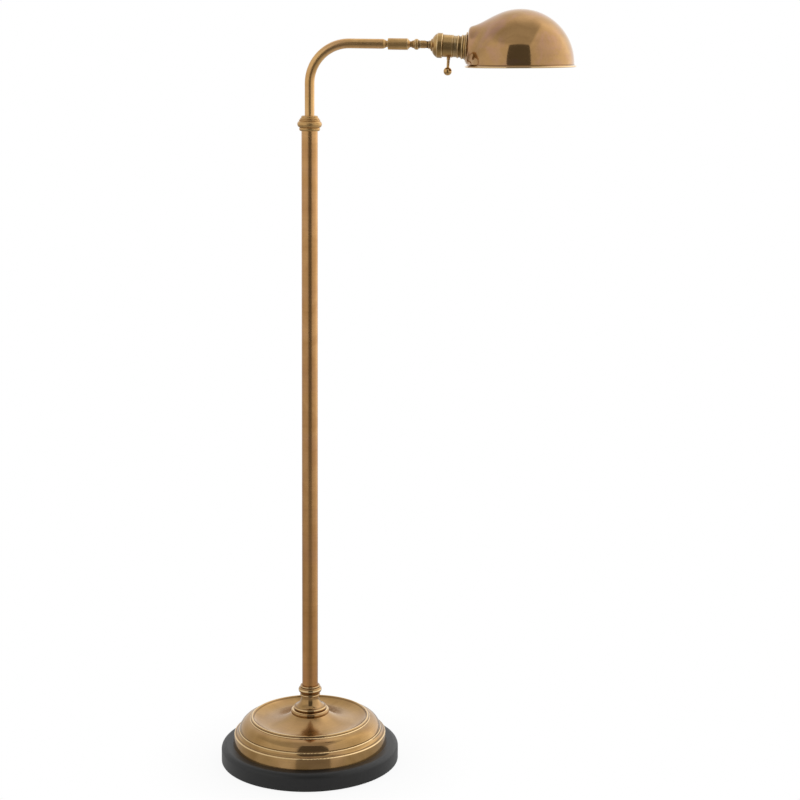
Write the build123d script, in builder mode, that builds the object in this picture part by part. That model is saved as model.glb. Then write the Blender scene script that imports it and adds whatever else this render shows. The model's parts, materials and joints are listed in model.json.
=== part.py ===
import os
from math import cos, radians, sin

from build123d import *

os.makedirs("parts", exist_ok=True)

# Fits and gaps shared by the pieces
run_gap = 0.05
side_gap = 0.3
slip_gap = 0.04
seat_gap = 0.1

# Tubes
pole_od = 25.4
pole_wall = 1.2
arm_od = 15.0
arm_wall = 1.0
pole_r = pole_od / 2
pole_in_r = pole_r - pole_wall
arm_r = arm_od / 2
arm_in_r = arm_r - arm_wall

# Heights of the stand, from the floor up
felt_t = 1.6
plinth_h = 28.5
band_h = 17.0
shoulder_h = 7.0
ogee_h = 17.0
lip_h = 3.4
dish_depth = 8.6
cone_rise = 5.3
foot_ring_h = 7.6
foot_h = 26.3
foot_bead_h = 13.0
pole_len = 920.4
collar_drop = 8.9
collar_ring_h = 5.5
collar_body_h = 10.15
collar_nut_h = 7.75
bush_flange_t = 3.0
bush_len = 44.0
plinth_top = felt_t + plinth_h
band_top = plinth_top + band_h
step_top = band_top + shoulder_h
ogee_top = step_top + ogee_h
lip_top = ogee_top + lip_h
dish_low = lip_top - dish_depth
cover_top = lip_top + cone_rise
ring_top = cover_top + foot_ring_h
foot_top = ring_top + foot_h
bead_top = foot_top + foot_bead_h
pole_top = foot_top + pole_len
collar_low = pole_top - collar_drop
collar_ring_top = collar_low + collar_ring_h
collar_body_top = collar_ring_top + collar_body_h
collar_top = collar_body_top + collar_nut_h
bush_top = pole_top + bush_flange_t

# Radii of the base
cover_r = 125.5
band_draft = 2.7
shoulder_w = 7.8
cove_depth = 1.3
ogee_w = 17.95
ogee_bulge = 3.4
lip_w = 2.8
dish_w = 22.9
sheet = 1.2
plinth_margin = 18.5
plinth_round = 8.5
felt_inset = 4.5
weight_h = 17.5
weight_gap = 3.0
foot_waist_margin = 1.9
foot_flare = 11.7
foot_ring_margin = 5.0
foot_bead_margin = 6.1
band_top_r = cover_r - band_draft
step_r = band_top_r - shoulder_w
lip_out_r = step_r - ogee_w
lip_r = lip_out_r - lip_w
dish_r = lip_r - dish_w
plinth_r = cover_r + plinth_margin
felt_r = plinth_r - felt_inset
foot_waist_r = pole_r + foot_waist_margin
foot_lip_r = foot_waist_r + foot_flare
foot_ring_r = foot_lip_r + foot_ring_margin
foot_bead_r = pole_r + foot_bead_margin
boss_r = foot_ring_r - 7.3

# Tie rod through the base, with its washer and nut in the plinth
rod_r = 5.0
rod_bore_r = 3.5
rod_clear = 0.4
rod_tail = 1.6
washer_t = 2.2
washer_w = 10.6
nut_t = 8.0
nut_w = 4.8
recess_air = 2.2
recess_side = 18.0
plug_len = 22.0
rod_hole_r = rod_r + rod_clear
washer_r = rod_hole_r + washer_w
nut_r = rod_r + nut_w
recess_r = washer_r + recess_side
recess_top = felt_t + recess_air + rod_tail + nut_t + washer_t
washer_low = recess_top - washer_t
nut_low = washer_low - nut_t
rod_low = nut_low - rod_tail
plug_top = foot_top + plug_len

# Cord inlet at the back of the plinth
inlet_bore_r = 3.4
bushing_wall = 1.8
bushing_flange_w = 1.8
bushing_flange_t = 3.0
bushing_depth = 16.0
inlet_up = 7.4
inlet_flat = 1.2
inlet_r = inlet_bore_r + bushing_wall
bushing_flange_r = inlet_r + bushing_flange_w
inlet_z = felt_t + inlet_up
inlet_face = plinth_r - inlet_flat

# Arm and the guide at its foot
arm_rise = 111.4
arm_tail = 446.2
arm_reach = 112.9
bend_r = 61.7
stop_ring_t = 5.7
stop_ring_gap = 1.1
guide_len = 40.0
clip_t = 2.4
clip_w = 2.1
arm_z = collar_top + arm_rise
arm_foot_z = collar_top - arm_tail
guide_low = arm_foot_z + stop_ring_t + side_gap
guide_top = guide_low + guide_len

# Swivel on the end of the arm
spindle_r = 4.5
spindle_bore_r = 3.0
spigot_len = 9.0
ferrule_len = 5.3
thrust_t = 2.5
sleeve_len = 31.5
sleeve_wall = 1.55
journal_len = 7.4
spring_t = 1.6
spindle_nut_t = 6.0
spindle_nut_w = 2.1
spindle_tail = 1.5
neck_plug_len = 7.0
neck_r = 4.5
neck_off = 3.85
bead_off = 9.6
bead_len = 6.15
bead_r = 8.25
wire_r = 2.4
ferrule_x = arm_reach + ferrule_len
sleeve_x = ferrule_x + thrust_t + side_gap
journal_x = sleeve_x + journal_len
sleeve_end = sleeve_x + sleeve_len
spindle_nut_r = spindle_r + spindle_nut_w
cavity_r = spindle_nut_r + 2 * side_gap
sleeve_r = cavity_r + sleeve_wall
spring_x = journal_x + seat_gap
spindle_nut_x = spring_x + spring_t
spindle_end = spindle_nut_x + spindle_nut_t + spindle_tail
neck_x = sleeve_end + neck_off
bead_x = sleeve_end + bead_off
bead_end = bead_x + bead_len

# Tilt knuckle
tongue_half = 2.2
pivot_washer_t = 0.4
cheek_t = 2.6
fork_crown = 1.2
fork_base = 1.8
pivot_r = 1.8
pivot_head_w = 0.9
pivot_head_t = 1.3
pivot_nut_t = 1.8
slot_half = tongue_half + pivot_washer_t + seat_gap
fork_flat = slot_half + cheek_t
fork_r = fork_flat + fork_crown
fork_round = fork_r - side_gap
tongue_round = fork_round - 3 * side_gap
slot_gap = 0.7
slot_x = bead_end + fork_base
pivot_x = slot_x + slot_gap + tongue_round
pivot_head_r = pivot_r + pivot_head_w

# Socket radii, outwards from the bulb's screw cap
screw_in_r = 13.3
screw_wall = 0.4
liner_air = 1.36
liner_wall = 0.6
thread_wall = 0.9
shell_wall = 0.6
cap_wall = 1.9
holder_flare = 6.6
screw_r = screw_in_r + screw_wall
liner_in_r = screw_r + liner_air
liner_r = liner_in_r + liner_wall
thread_in_r = liner_r + slip_gap
thread_r = thread_in_r + thread_wall
shell_r = thread_r + shell_wall
cap_r = shell_r + cap_wall
holder_r = thread_r + holder_flare
body_r = liner_in_r - side_gap

# Socket lengths, along its axis from the tilt pivot
head_drop = 3.0
stem_gap = 1.2
stem_len = 3.7
stem_r = 6.8
cap_dome_len = 9.25
cap_bead_len = 8.95
cap_neck_r = 8.2
shell_len = 15.7
thread_len = 6.55
lock_ring_t = 2.2
ring_space = 4.0
holder_len = 8.8
gasket_t = 1.2
gasket_w = 2.4
clamp_t = 3.6
clamp_w = 4.9
thread_tail = 3.6
shade_t = 1.2
screw_len = 26.0
body_back = 3.9
groove = 0.6
stem_start = fork_round + stem_gap
cap_start = stem_start + stem_len
cap_bead_start = cap_start + cap_dome_len
cap_end = cap_bead_start + cap_bead_len
shell_end = cap_end + shell_len
lock_ring_start = shell_end + thread_len
lock_ring_end = lock_ring_start + lock_ring_t
holder_start = lock_ring_end + ring_space
holder_end = holder_start + holder_len
gasket_end = holder_end + gasket_t
clamp_start = gasket_end + shade_t
thread_end = clamp_start + clamp_t + thread_tail
screw_end = thread_end - 3.0
body_end = screw_end - screw_len
body_start = cap_bead_start + body_back

# Bulb
contact_t = 2.0
tip_t = 1.6
bulb_gap = 0.3
bulb_r = 16.0
bulb_len = 84.0
glass_t = 1.0
bulb_cap_r = screw_in_r - bulb_gap
bulb_tip = body_end + contact_t + tip_t
bulb_end = screw_end + bulb_len

# Turn switch, measured outwards from the socket axis
switch_off = 10.0
switch_shaft_r = 1.4
switch_bush_wall = 1.25
switch_bush_proud = 3.8
switch_rod_r = 2.2
switch_rod_len = 14.7
knob_r = 6.4
knob_over = 2.4
switch_s = cap_end + switch_off
switch_bush_r = switch_shaft_r + run_gap + switch_bush_wall
switch_in = body_r - 7.8
bush_in = body_r - 4.8
switch_bush_end = shell_r + switch_bush_proud
switch_rod_start = switch_bush_end + side_gap
switch_rod_end = switch_rod_start + switch_rod_len
knob_d = switch_rod_end + knob_over

# Shade
dome_r = 82.6
dome_wall_h = 6.0
neck_set = 0.5
rim_drop = 25.0
rim_lift = 4.1
rim_w = 3.4
shade_neck_margin = 4.2
shade_hole_gap = 0.3
rim_r = dome_r + rim_w
shade_neck_r = holder_r + shade_neck_margin
shade_hole_r = thread_r + shade_hole_gap
dome_in_r = dome_r - shade_t

# Working planes and axes
stand = Plane.XZ
arm_axis = Axis((0, 0, arm_z), (1, 0, 0))
pivot = Vector(pivot_x, 0, arm_z)
head_dir = Vector(cos(radians(head_drop)), 0, -sin(radians(head_drop)))
head_plane = Plane(origin=pivot, x_dir=head_dir, z_dir=(0, -1, 0))
head_axis = Axis(pivot, head_dir)
head_end = Plane(origin=pivot, x_dir=(0, 1, 0), z_dir=head_dir)
arm_end = Plane(origin=(0, 0, arm_z), x_dir=(0, 1, 0), z_dir=(1, 0, 0))
back = Plane(origin=(0, 0, inlet_z), x_dir=(1, 0, 0), z_dir=(0, 1, 0))
pivot_plane = Plane(origin=pivot, x_dir=(1, 0, 0), z_dir=(0, -1, 0))
dome_at = head_plane.from_local_coords(Vector(gasket_end + dome_r + neck_set, -rim_drop, 0))
dome_turn = radians(rim_lift - head_drop)
dome_dir = Vector(cos(dome_turn), 0, sin(dome_turn))
dome_plane = Plane(origin=dome_at, x_dir=dome_dir, z_dir=(0, -1, 0))
dome_axis = Axis(dome_at, dome_plane.y_dir)
rim_plane = Plane(origin=dome_at, x_dir=dome_dir, z_dir=dome_plane.y_dir)
switch_at = head_plane.from_local_coords(Vector(switch_s, 0, 0))
switch_plane = Plane(origin=switch_at, x_dir=head_dir, z_dir=-head_plane.y_dir)

# Felt under the plinth
with BuildPart() as felt_pad:
    with BuildSketch(Plane.XY):
        Circle(felt_r)
    extrude(amount=felt_t)
felt_pad.part.label = "felt_pad"
export_step(felt_pad.part, "parts/felt_pad.step")

# Black plinth with the nut recess and the cord way
with BuildPart() as plinth:
    with BuildSketch(Plane.XY.offset(felt_t)):
        Circle(plinth_r)
    extrude(amount=plinth_h)
    fillet(plinth.edges().sort_by(Axis.Z)[-1], radius=plinth_round)
    fillet(plinth.edges().sort_by(Axis.Z)[0], radius=1.2)
    with BuildSketch(Plane.XY.offset(felt_t)):
        Circle(recess_r)
    extrude(amount=recess_top - felt_t, mode=Mode.SUBTRACT)
    with BuildSketch(Plane.XY.offset(recess_top)):
        Circle(rod_hole_r)
    extrude(amount=plinth_top - recess_top, mode=Mode.SUBTRACT)
    with BuildSketch(back):
        Circle(inlet_r)
    extrude(amount=plinth_r, mode=Mode.SUBTRACT)
    with BuildSketch(back.offset(inlet_face)):
        Circle(bushing_flange_r + side_gap)
    extrude(amount=inlet_flat * 2, mode=Mode.SUBTRACT)
plinth.part.label = "plinth"
export_step(plinth.part, "parts/plinth.step")

# Rubber bushing in the cord inlet
with BuildPart() as cord_bushing:
    with BuildSketch(back.offset(inlet_face)):
        Circle(bushing_flange_r)
    extrude(amount=bushing_flange_t)
    fillet(cord_bushing.edges().sort_by(Axis.Y)[-1], radius=0.9)
    with BuildSketch(back.offset(inlet_face)):
        Circle(inlet_r)
    extrude(amount=-bushing_depth)
    with BuildSketch(back.offset(inlet_face - bushing_depth)):
        Circle(inlet_bore_r)
    extrude(amount=bushing_depth + bushing_flange_t, mode=Mode.SUBTRACT)
cord_bushing.part.label = "cord_bushing"
export_step(cord_bushing.part, "parts/cord_bushing.step")

# Cast weight with a boss that carries the middle of the cover
with BuildPart() as base_weight:
    with BuildSketch(stand):
        with BuildLine():
            Polyline(
                (rod_hole_r, plinth_top),
                (step_r - weight_gap, plinth_top),
                (step_r - weight_gap, plinth_top + weight_h - 2),
                (step_r - weight_gap - 2, plinth_top + weight_h),
                (boss_r + 6, plinth_top + weight_h),
                (boss_r, plinth_top + weight_h + 6),
                (boss_r, cover_top - sheet),
                (rod_hole_r, cover_top - sheet),
                close=True,
            )
        make_face()
    revolve(axis=Axis.Z)
base_weight.part.label = "base_weight"
export_step(base_weight.part, "parts/base_weight.step")

# Spun brass cover of the base, about one sheet thick
with BuildPart() as base_cover:
    with BuildSketch(stand):
        with BuildLine():
            Line((rod_hole_r, plinth_top), (cover_r, plinth_top))
            Line((cover_r, plinth_top), (band_top_r + 0.5, band_top - 0.9))
            ThreePointArc(
                (band_top_r + 0.5, band_top - 0.9),
                (band_top_r - 0.1, band_top + 0.2),
                (band_top_r - 1.0, band_top + 0.6),
            )
            Line((band_top_r - 1.0, band_top + 0.6), (band_top_r - 1.8, band_top + 0.6))
            SagittaArc((band_top_r - 1.8, band_top + 0.6), (step_r + 0.8, step_top - 0.9), cove_depth)
            ThreePointArc(
                (step_r + 0.8, step_top - 0.9),
                (step_r + 0.5, step_top + 0.1),
                (step_r - 0.6, step_top + 0.5),
            )
            Line((step_r - 0.6, step_top + 0.5), (step_r - 0.6, step_top + 1.7))
            SagittaArc((step_r - 0.6, step_top + 1.7), (lip_out_r + 0.9, ogee_top - 0.8), -ogee_bulge)
            ThreePointArc(
                (lip_out_r + 0.9, ogee_top - 0.8),
                (lip_out_r + 0.6, ogee_top + 0.4),
                (lip_out_r - 0.6, ogee_top + 0.8),
            )
            Line((lip_out_r - 0.6, ogee_top + 0.8), (lip_out_r - 1.0, ogee_top + 0.9))
            ThreePointArc((lip_out_r - 1.0, ogee_top + 0.9), (lip_r, lip_top), (lip_r - 2.4, lip_top - 1.8))
            TangentArc((dish_r, dish_low), (lip_r - 2.4, lip_top - 1.8), tangent=(1, 0))
            TangentArc((dish_r, dish_low), (foot_ring_r - 1.0, cover_top), tangent=(-1, 0))
            Line((foot_ring_r - 1.0, cover_top), (rod_hole_r, cover_top))
            Line((rod_hole_r, cover_top), (rod_hole_r, plinth_top))
        make_face()
        with BuildLine():
            Line((rod_hole_r - 1, plinth_top - 1), (cover_r - sheet, plinth_top - 1))
            Line((cover_r - sheet, plinth_top - 1), (cover_r - sheet, plinth_top))
            Line((cover_r - sheet, plinth_top), (band_top_r + 0.5 - sheet, band_top - 0.9))
            Line((band_top_r + 0.5 - sheet, band_top - 0.9), (band_top_r - 1.8, band_top + 0.6 - sheet))
            SagittaArc(
                (band_top_r - 1.8, band_top + 0.6 - sheet),
                (step_r + 0.8 - sheet, step_top - 0.9),
                cove_depth + 0.3 * sheet,
            )
            Line((step_r + 0.8 - sheet, step_top - 0.9), (step_r - sheet, step_top - 0.4))
            Line((step_r - sheet, step_top - 0.4), (step_r - 0.6 - sheet, step_top + 1.4))
            SagittaArc(
                (step_r - 0.6 - sheet, step_top + 1.4),
                (lip_out_r + 0.6, ogee_top - 0.8 - sheet),
                0.25 * sheet - ogee_bulge,
            )
            Line((lip_out_r + 0.6, ogee_top - 0.8 - sheet), (lip_r, lip_top - 3 * sheet))
            Line((lip_r, lip_top - 3 * sheet), (lip_r - 2.4, lip_top - 1.8 - sheet))
            TangentArc((dish_r, dish_low - sheet), (lip_r - 2.4, lip_top - 1.8 - sheet), tangent=(1, 0))
            TangentArc((dish_r, dish_low - sheet), (foot_ring_r - 1.0, cover_top - sheet), tangent=(-1, 0))
            Line((foot_ring_r - 1.0, cover_top - sheet), (rod_hole_r - 1, cover_top - sheet))
            Line((rod_hole_r - 1, cover_top - sheet), (rod_hole_r - 1, plinth_top - 1))
        make_face(mode=Mode.SUBTRACT)
    revolve(axis=Axis.Z)
base_cover.part.label = "base_cover"
export_step(base_cover.part, "parts/base_cover.step")

# Rounded ring on the middle of the cover
with BuildPart() as foot_ring:
    with BuildSketch(stand):
        with BuildLine():
            Line((rod_hole_r, cover_top), (foot_ring_r - 2.7, cover_top))
            ThreePointArc(
                (foot_ring_r - 2.7, cover_top),
                (foot_ring_r, cover_top + 3.3),
                (foot_ring_r - 2.9, ring_top - 1.0),
            )
            Line((foot_ring_r - 2.9, ring_top - 1.0), (foot_lip_r - 0.9, ring_top - 0.8))
            Line((foot_lip_r - 0.9, ring_top - 0.8), (foot_lip_r - 0.9, ring_top))
            Line((foot_lip_r - 0.9, ring_top), (rod_hole_r, ring_top))
            Line((rod_hole_r, ring_top), (rod_hole_r, cover_top))
        make_face()
    revolve(axis=Axis.Z)
foot_ring.part.label = "foot_ring"
export_step(foot_ring.part, "parts/foot_ring.step")

# Turned vase under the pole
with BuildPart() as pole_foot:
    with BuildSketch(stand):
        with BuildLine():
            Line((rod_hole_r, ring_top), (foot_lip_r - 1.1, ring_top))
            ThreePointArc(
                (foot_lip_r - 1.1, ring_top),
                (foot_lip_r, ring_top + 2.3),
                (foot_lip_r - 1.7, ring_top + 4.4),
            )
            Line((foot_lip_r - 1.7, ring_top + 4.4), (foot_lip_r - 2.9, ring_top + 4.6))
            TangentArc((foot_waist_r, foot_top - 7.5), (foot_lip_r - 2.9, ring_top + 4.6), tangent=(0, -1))
            Line((foot_waist_r, foot_top - 7.5), (foot_waist_r, foot_top - 5.0))
            ThreePointArc(
                (foot_waist_r, foot_top - 5.0),
                (foot_waist_r + 1.7, foot_top - 2.9),
                (foot_waist_r + 0.6, foot_top - 1.3),
            )
            Line((foot_waist_r + 0.6, foot_top - 1.3), (foot_waist_r + 0.6, foot_top))
            Line((foot_waist_r + 0.6, foot_top), (rod_hole_r, foot_top))
            Line((rod_hole_r, foot_top), (rod_hole_r, ring_top))
        make_face()
    revolve(axis=Axis.Z)
pole_foot.part.label = "pole_foot"
export_step(pole_foot.part, "parts/pole_foot.step")

# Beaded collar round the bottom of the pole
sleeve_bore_r = pole_r + slip_gap
with BuildPart() as foot_bead:
    with BuildSketch(stand):
        with BuildLine():
            Line((sleeve_bore_r, foot_top), (pole_r + 2.7, foot_top))
            Line((pole_r + 2.7, foot_top), (pole_r + 3.5, foot_top + 0.9))
            ThreePointArc(
                (pole_r + 3.5, foot_top + 0.9),
                (foot_bead_r, foot_top + 5.9),
                (pole_r + 3.3, bead_top - 3.2),
            )
            Line((pole_r + 3.3, bead_top - 3.2), (pole_r + 2.3, bead_top - 2.9))
            ThreePointArc(
                (pole_r + 2.3, bead_top - 2.9),
                (pole_r + 3.1, bead_top - 1.5),
                (pole_r + 2.3, bead_top),
            )
            Line((pole_r + 2.3, bead_top), (sleeve_bore_r, bead_top))
            Line((sleeve_bore_r, bead_top), (sleeve_bore_r, foot_top))
        make_face()
    revolve(axis=Axis.Z)
foot_bead.part.label = "foot_bead"
export_step(foot_bead.part, "parts/foot_bead.step")

# Pole tube
with BuildPart() as pole:
    with BuildSketch(Plane.XY.offset(foot_top)):
        Circle(pole_r)
        Circle(pole_in_r, mode=Mode.SUBTRACT)
    extrude(amount=pole_len)
pole.part.label = "pole"
export_step(pole.part, "parts/pole.step")

# Threaded plug in the bottom of the pole
with BuildPart() as pole_plug:
    with BuildSketch(Plane.XY.offset(foot_top)):
        Circle(pole_in_r)
        Circle(rod_r, mode=Mode.SUBTRACT)
    extrude(amount=plug_len)
    chamfer(pole_plug.edges().group_by(Axis.Z)[-1], length=0.8)
pole_plug.part.label = "pole_plug"
export_step(pole_plug.part, "parts/pole_plug.step")

# Hollow tie rod with its washer and nut
with BuildPart() as tie_rod:
    with BuildSketch(Plane.XY.offset(rod_low)):
        Circle(rod_r)
        Circle(rod_bore_r, mode=Mode.SUBTRACT)
    extrude(amount=plug_top - 2 - rod_low)
tie_rod.part.label = "tie_rod"
export_step(tie_rod.part, "parts/tie_rod.step")

with BuildPart() as rod_washer:
    with BuildSketch(Plane.XY.offset(washer_low)):
        Circle(washer_r)
        Circle(rod_hole_r, mode=Mode.SUBTRACT)
    extrude(amount=washer_t)
rod_washer.part.label = "rod_washer"
export_step(rod_washer.part, "parts/rod_washer.step")

with BuildPart() as rod_nut:
    with BuildSketch(Plane.XY.offset(nut_low)):
        RegularPolygon(radius=nut_r, side_count=6)
        Circle(rod_r, mode=Mode.SUBTRACT)
    extrude(amount=nut_t)
rod_nut.part.label = "rod_nut"
export_step(rod_nut.part, "parts/rod_nut.step")

# Lower ring of the pole collar
with BuildPart() as collar_ring:
    with BuildSketch(stand):
        with BuildLine():
            Line((sleeve_bore_r, collar_low), (pole_r + 1.9, collar_low))
            ThreePointArc(
                (pole_r + 1.9, collar_low),
                (pole_r + 3.5, collar_low + 2.4),
                (pole_r + 2.9, collar_ring_top - 0.6),
            )
            Line((pole_r + 2.9, collar_ring_top - 0.6), (pole_r + 2.5, collar_ring_top))
            Line((pole_r + 2.5, collar_ring_top), (sleeve_bore_r, collar_ring_top))
            Line((sleeve_bore_r, collar_ring_top), (sleeve_bore_r, collar_low))
        make_face()
    revolve(axis=Axis.Z)
collar_ring.part.label = "collar_ring"
export_step(collar_ring.part, "parts/collar_ring.step")

# Beaded body of the pole collar
with BuildPart() as collar_body:
    with BuildSketch(stand):
        with BuildLine():
            Line((sleeve_bore_r, collar_ring_top), (pole_r + 3.7, collar_ring_top))
            ThreePointArc(
                (pole_r + 3.7, collar_ring_top),
                (pole_r + 6.4, collar_ring_top + 4.9),
                (pole_r + 3.9, collar_body_top - 0.8),
            )
            Line((pole_r + 3.9, collar_body_top - 0.8), (pole_r + 3.2, collar_body_top))
            Line((pole_r + 3.2, collar_body_top), (sleeve_bore_r, collar_body_top))
            Line((sleeve_bore_r, collar_body_top), (sleeve_bore_r, collar_ring_top))
        make_face()
    revolve(axis=Axis.Z)
collar_body.part.label = "collar_body"
export_step(collar_body.part, "parts/collar_body.step")

# Bush in the top of the pole that grips the arm
arm_run_r = arm_r + run_gap
with BuildPart() as friction_bush:
    with BuildSketch(stand):
        with BuildLine():
            Polyline(
                (arm_run_r, pole_top - bush_len),
                (pole_in_r, pole_top - bush_len),
                (pole_in_r, pole_top),
                (pole_r, pole_top),
                (pole_r, bush_top),
                (arm_run_r, bush_top),
                close=True,
            )
        make_face()
    revolve(axis=Axis.Z)
friction_bush.part.label = "friction_bush"
export_step(friction_bush.part, "parts/friction_bush.step")

# Stepped nut on top of the collar
arm_clear_r = arm_r + side_gap
with BuildPart() as collar_nut:
    with BuildSketch(stand):
        with BuildLine():
            Line((arm_clear_r, bush_top), (pole_r, bush_top))
            Line((pole_r, bush_top), (pole_r, collar_body_top))
            Line((pole_r, collar_body_top), (pole_r + 3.4, collar_body_top))
            ThreePointArc(
                (pole_r + 3.4, collar_body_top),
                (pole_r + 3.9, collar_body_top + 0.8),
                (pole_r + 3.2, collar_body_top + 1.8),
            )
            Line((pole_r + 3.2, collar_body_top + 1.8), (pole_r + 2.0, collar_body_top + 2.1))
            ThreePointArc(
                (pole_r + 2.0, collar_body_top + 2.1),
                (pole_r + 2.2, collar_body_top + 3.3),
                (pole_r + 1.2, collar_body_top + 4.4),
            )
            Line((pole_r + 1.2, collar_body_top + 4.4), (pole_r + 0.3, collar_body_top + 4.6))
            ThreePointArc(
                (pole_r + 0.3, collar_body_top + 4.6),
                (pole_r + 0.2, collar_top - 1.4),
                (pole_r - 1.5, collar_top),
            )
            Line((pole_r - 1.5, collar_top), (arm_clear_r, collar_top))
            Line((arm_clear_r, collar_top), (arm_clear_r, bush_top))
        make_face()
    revolve(axis=Axis.Z)
collar_nut.part.label = "collar_nut"
export_step(collar_nut.part, "parts/collar_nut.step")

# Guide bush that slides inside the pole
with BuildPart() as guide_bush:
    with BuildSketch(Plane.XY.offset(guide_low)):
        Circle(pole_in_r - run_gap)
        Circle(arm_run_r, mode=Mode.SUBTRACT)
    extrude(amount=guide_len)
    chamfer(guide_bush.edges().filter_by(GeomType.CIRCLE).sort_by(SortBy.RADIUS)[-2:], length=0.8)
guide_bush.part.label = "guide_bush"
export_step(guide_bush.part, "parts/guide_bush.step")

# Bent arm tube
with BuildPart() as arm_tube:
    with BuildLine(stand) as arm_path:
        Line((0, arm_foot_z), (0, arm_z - bend_r))
        RadiusArc((0, arm_z - bend_r), (bend_r, arm_z), bend_r)
        Line((bend_r, arm_z), (arm_reach, arm_z))
    with BuildSketch(Plane.XY.offset(arm_foot_z)):
        Circle(arm_r)
        Circle(arm_in_r, mode=Mode.SUBTRACT)
    sweep(path=arm_path.wires()[0])
arm_tube.part.label = "arm_tube"
export_step(arm_tube.part, "parts/arm_tube.step")

# Ring and clip that carry the guide bush on the arm
with BuildPart() as arm_stop_ring:
    with BuildSketch(Plane.XY.offset(arm_foot_z)):
        Circle(pole_in_r - stop_ring_gap)
        Circle(arm_r, mode=Mode.SUBTRACT)
    extrude(amount=stop_ring_t)
arm_stop_ring.part.label = "arm_stop_ring"
export_step(arm_stop_ring.part, "parts/arm_stop_ring.step")

with BuildPart() as arm_clip:
    with BuildSketch(Plane.XY.offset(guide_top + side_gap)):
        Circle(arm_r + clip_w)
        Circle(arm_r, mode=Mode.SUBTRACT)
    extrude(amount=clip_t)
arm_clip.part.label = "arm_clip"
export_step(arm_clip.part, "parts/arm_clip.step")

# Tapered ferrule on the end of the arm
with BuildPart() as arm_ferrule:
    with BuildSketch(stand):
        with BuildLine():
            Polyline(
                (arm_reach - spigot_len, arm_z + spindle_r),
                (arm_reach - spigot_len, arm_z + arm_in_r),
                (arm_reach, arm_z + arm_in_r),
                (arm_reach, arm_z + arm_r - 0.2),
                (arm_reach + 1.2, arm_z + arm_r - 0.2),
                (ferrule_x - 0.6, arm_z + spindle_r + 1.3),
                (ferrule_x, arm_z + spindle_r + 0.7),
                (ferrule_x, arm_z + spindle_r),
                close=True,
            )
        make_face()
    revolve(axis=arm_axis)
arm_ferrule.part.label = "arm_ferrule"
export_step(arm_ferrule.part, "parts/arm_ferrule.step")

# Hollow spindle that the sleeve turns on
with BuildPart() as arm_spindle:
    with BuildSketch(arm_end.offset(arm_reach - spigot_len)):
        Circle(spindle_r)
        Circle(spindle_bore_r, mode=Mode.SUBTRACT)
    extrude(amount=spindle_end - arm_reach + spigot_len)
arm_spindle.part.label = "arm_spindle"
export_step(arm_spindle.part, "parts/arm_spindle.step")

# Thrust ring between ferrule and sleeve
with BuildPart() as thrust_ring:
    with BuildSketch(arm_end.offset(ferrule_x)):
        Circle(spindle_r + 0.5)
        Circle(spindle_r, mode=Mode.SUBTRACT)
    extrude(amount=thrust_t)
thrust_ring.part.label = "thrust_ring"
export_step(thrust_ring.part, "parts/thrust_ring.step")

# Spring washer and nut that hold the sleeve on the spindle
with BuildPart() as spring_washer:
    with BuildSketch(arm_end.offset(spring_x)):
        Circle(spindle_nut_r - 0.2)
        Circle(spindle_r, mode=Mode.SUBTRACT)
    extrude(amount=spring_t)
spring_washer.part.label = "spring_washer"
export_step(spring_washer.part, "parts/spring_washer.step")

with BuildPart() as spindle_nut:
    with BuildSketch(arm_end.offset(spindle_nut_x)):
        RegularPolygon(radius=spindle_nut_r, side_count=6)
        Circle(spindle_r, mode=Mode.SUBTRACT)
    extrude(amount=spindle_nut_t)
spindle_nut.part.label = "spindle_nut"
export_step(spindle_nut.part, "parts/spindle_nut.step")

# Swivel sleeve
with BuildPart() as swivel_sleeve:
    with BuildSketch(stand):
        with BuildLine():
            Polyline(
                (sleeve_x, arm_z + spindle_r + run_gap),
                (sleeve_x, arm_z + sleeve_r - 0.5),
                (sleeve_x + 0.5, arm_z + sleeve_r),
                (sleeve_end - 1.2, arm_z + sleeve_r),
                (sleeve_end, arm_z + cavity_r + 0.3),
                (sleeve_end, arm_z + cavity_r),
                (journal_x, arm_z + cavity_r),
                (journal_x, arm_z + spindle_r + run_gap),
                close=True,
            )
        make_face()
    revolve(axis=arm_axis)
swivel_sleeve.part.label = "swivel_sleeve"
export_step(swivel_sleeve.part, "parts/swivel_sleeve.step")

# Turned neck and bead in the end of the sleeve
with BuildPart() as swivel_neck:
    with BuildSketch(stand):
        with BuildLine():
            Line(
                (sleeve_end - neck_plug_len, arm_z + wire_r),
                (sleeve_end - neck_plug_len, arm_z + cavity_r),
            )
            Line((sleeve_end - neck_plug_len, arm_z + cavity_r), (sleeve_end, arm_z + cavity_r))
            Line((sleeve_end, arm_z + cavity_r), (neck_x - 1.0, arm_z + neck_r + 0.2))
            ThreePointArc(
                (neck_x - 1.0, arm_z + neck_r + 0.2),
                (neck_x, arm_z + neck_r),
                (neck_x + 1.0, arm_z + neck_r + 0.2),
            )
            Line((neck_x + 1.0, arm_z + neck_r + 0.2), (neck_x + 2.0, arm_z + neck_r + 1.1))
            Line((neck_x + 2.0, arm_z + neck_r + 1.1), (neck_x + 3.2, arm_z + neck_r + 1.1))
            Line((neck_x + 3.2, arm_z + neck_r + 1.1), (bead_x - 0.8, arm_z + bead_r - 1.9))
            Line((bead_x - 0.8, arm_z + bead_r - 1.9), (bead_x + 0.7, arm_z + bead_r - 0.3))
            SagittaArc((bead_x + 0.7, arm_z + bead_r - 0.3), (bead_end - 0.6, arm_z + bead_r - 0.3), 0.3)
            Line((bead_end - 0.6, arm_z + bead_r - 0.3), (bead_end, arm_z + bead_r - 1.4))
            Line((bead_end, arm_z + bead_r - 1.4), (bead_end, arm_z + wire_r))
            Line((bead_end, arm_z + wire_r), (sleeve_end - neck_plug_len, arm_z + wire_r))
        make_face()
    revolve(axis=arm_axis)
swivel_neck.part.label = "swivel_neck"
export_step(swivel_neck.part, "parts/swivel_neck.step")

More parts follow.
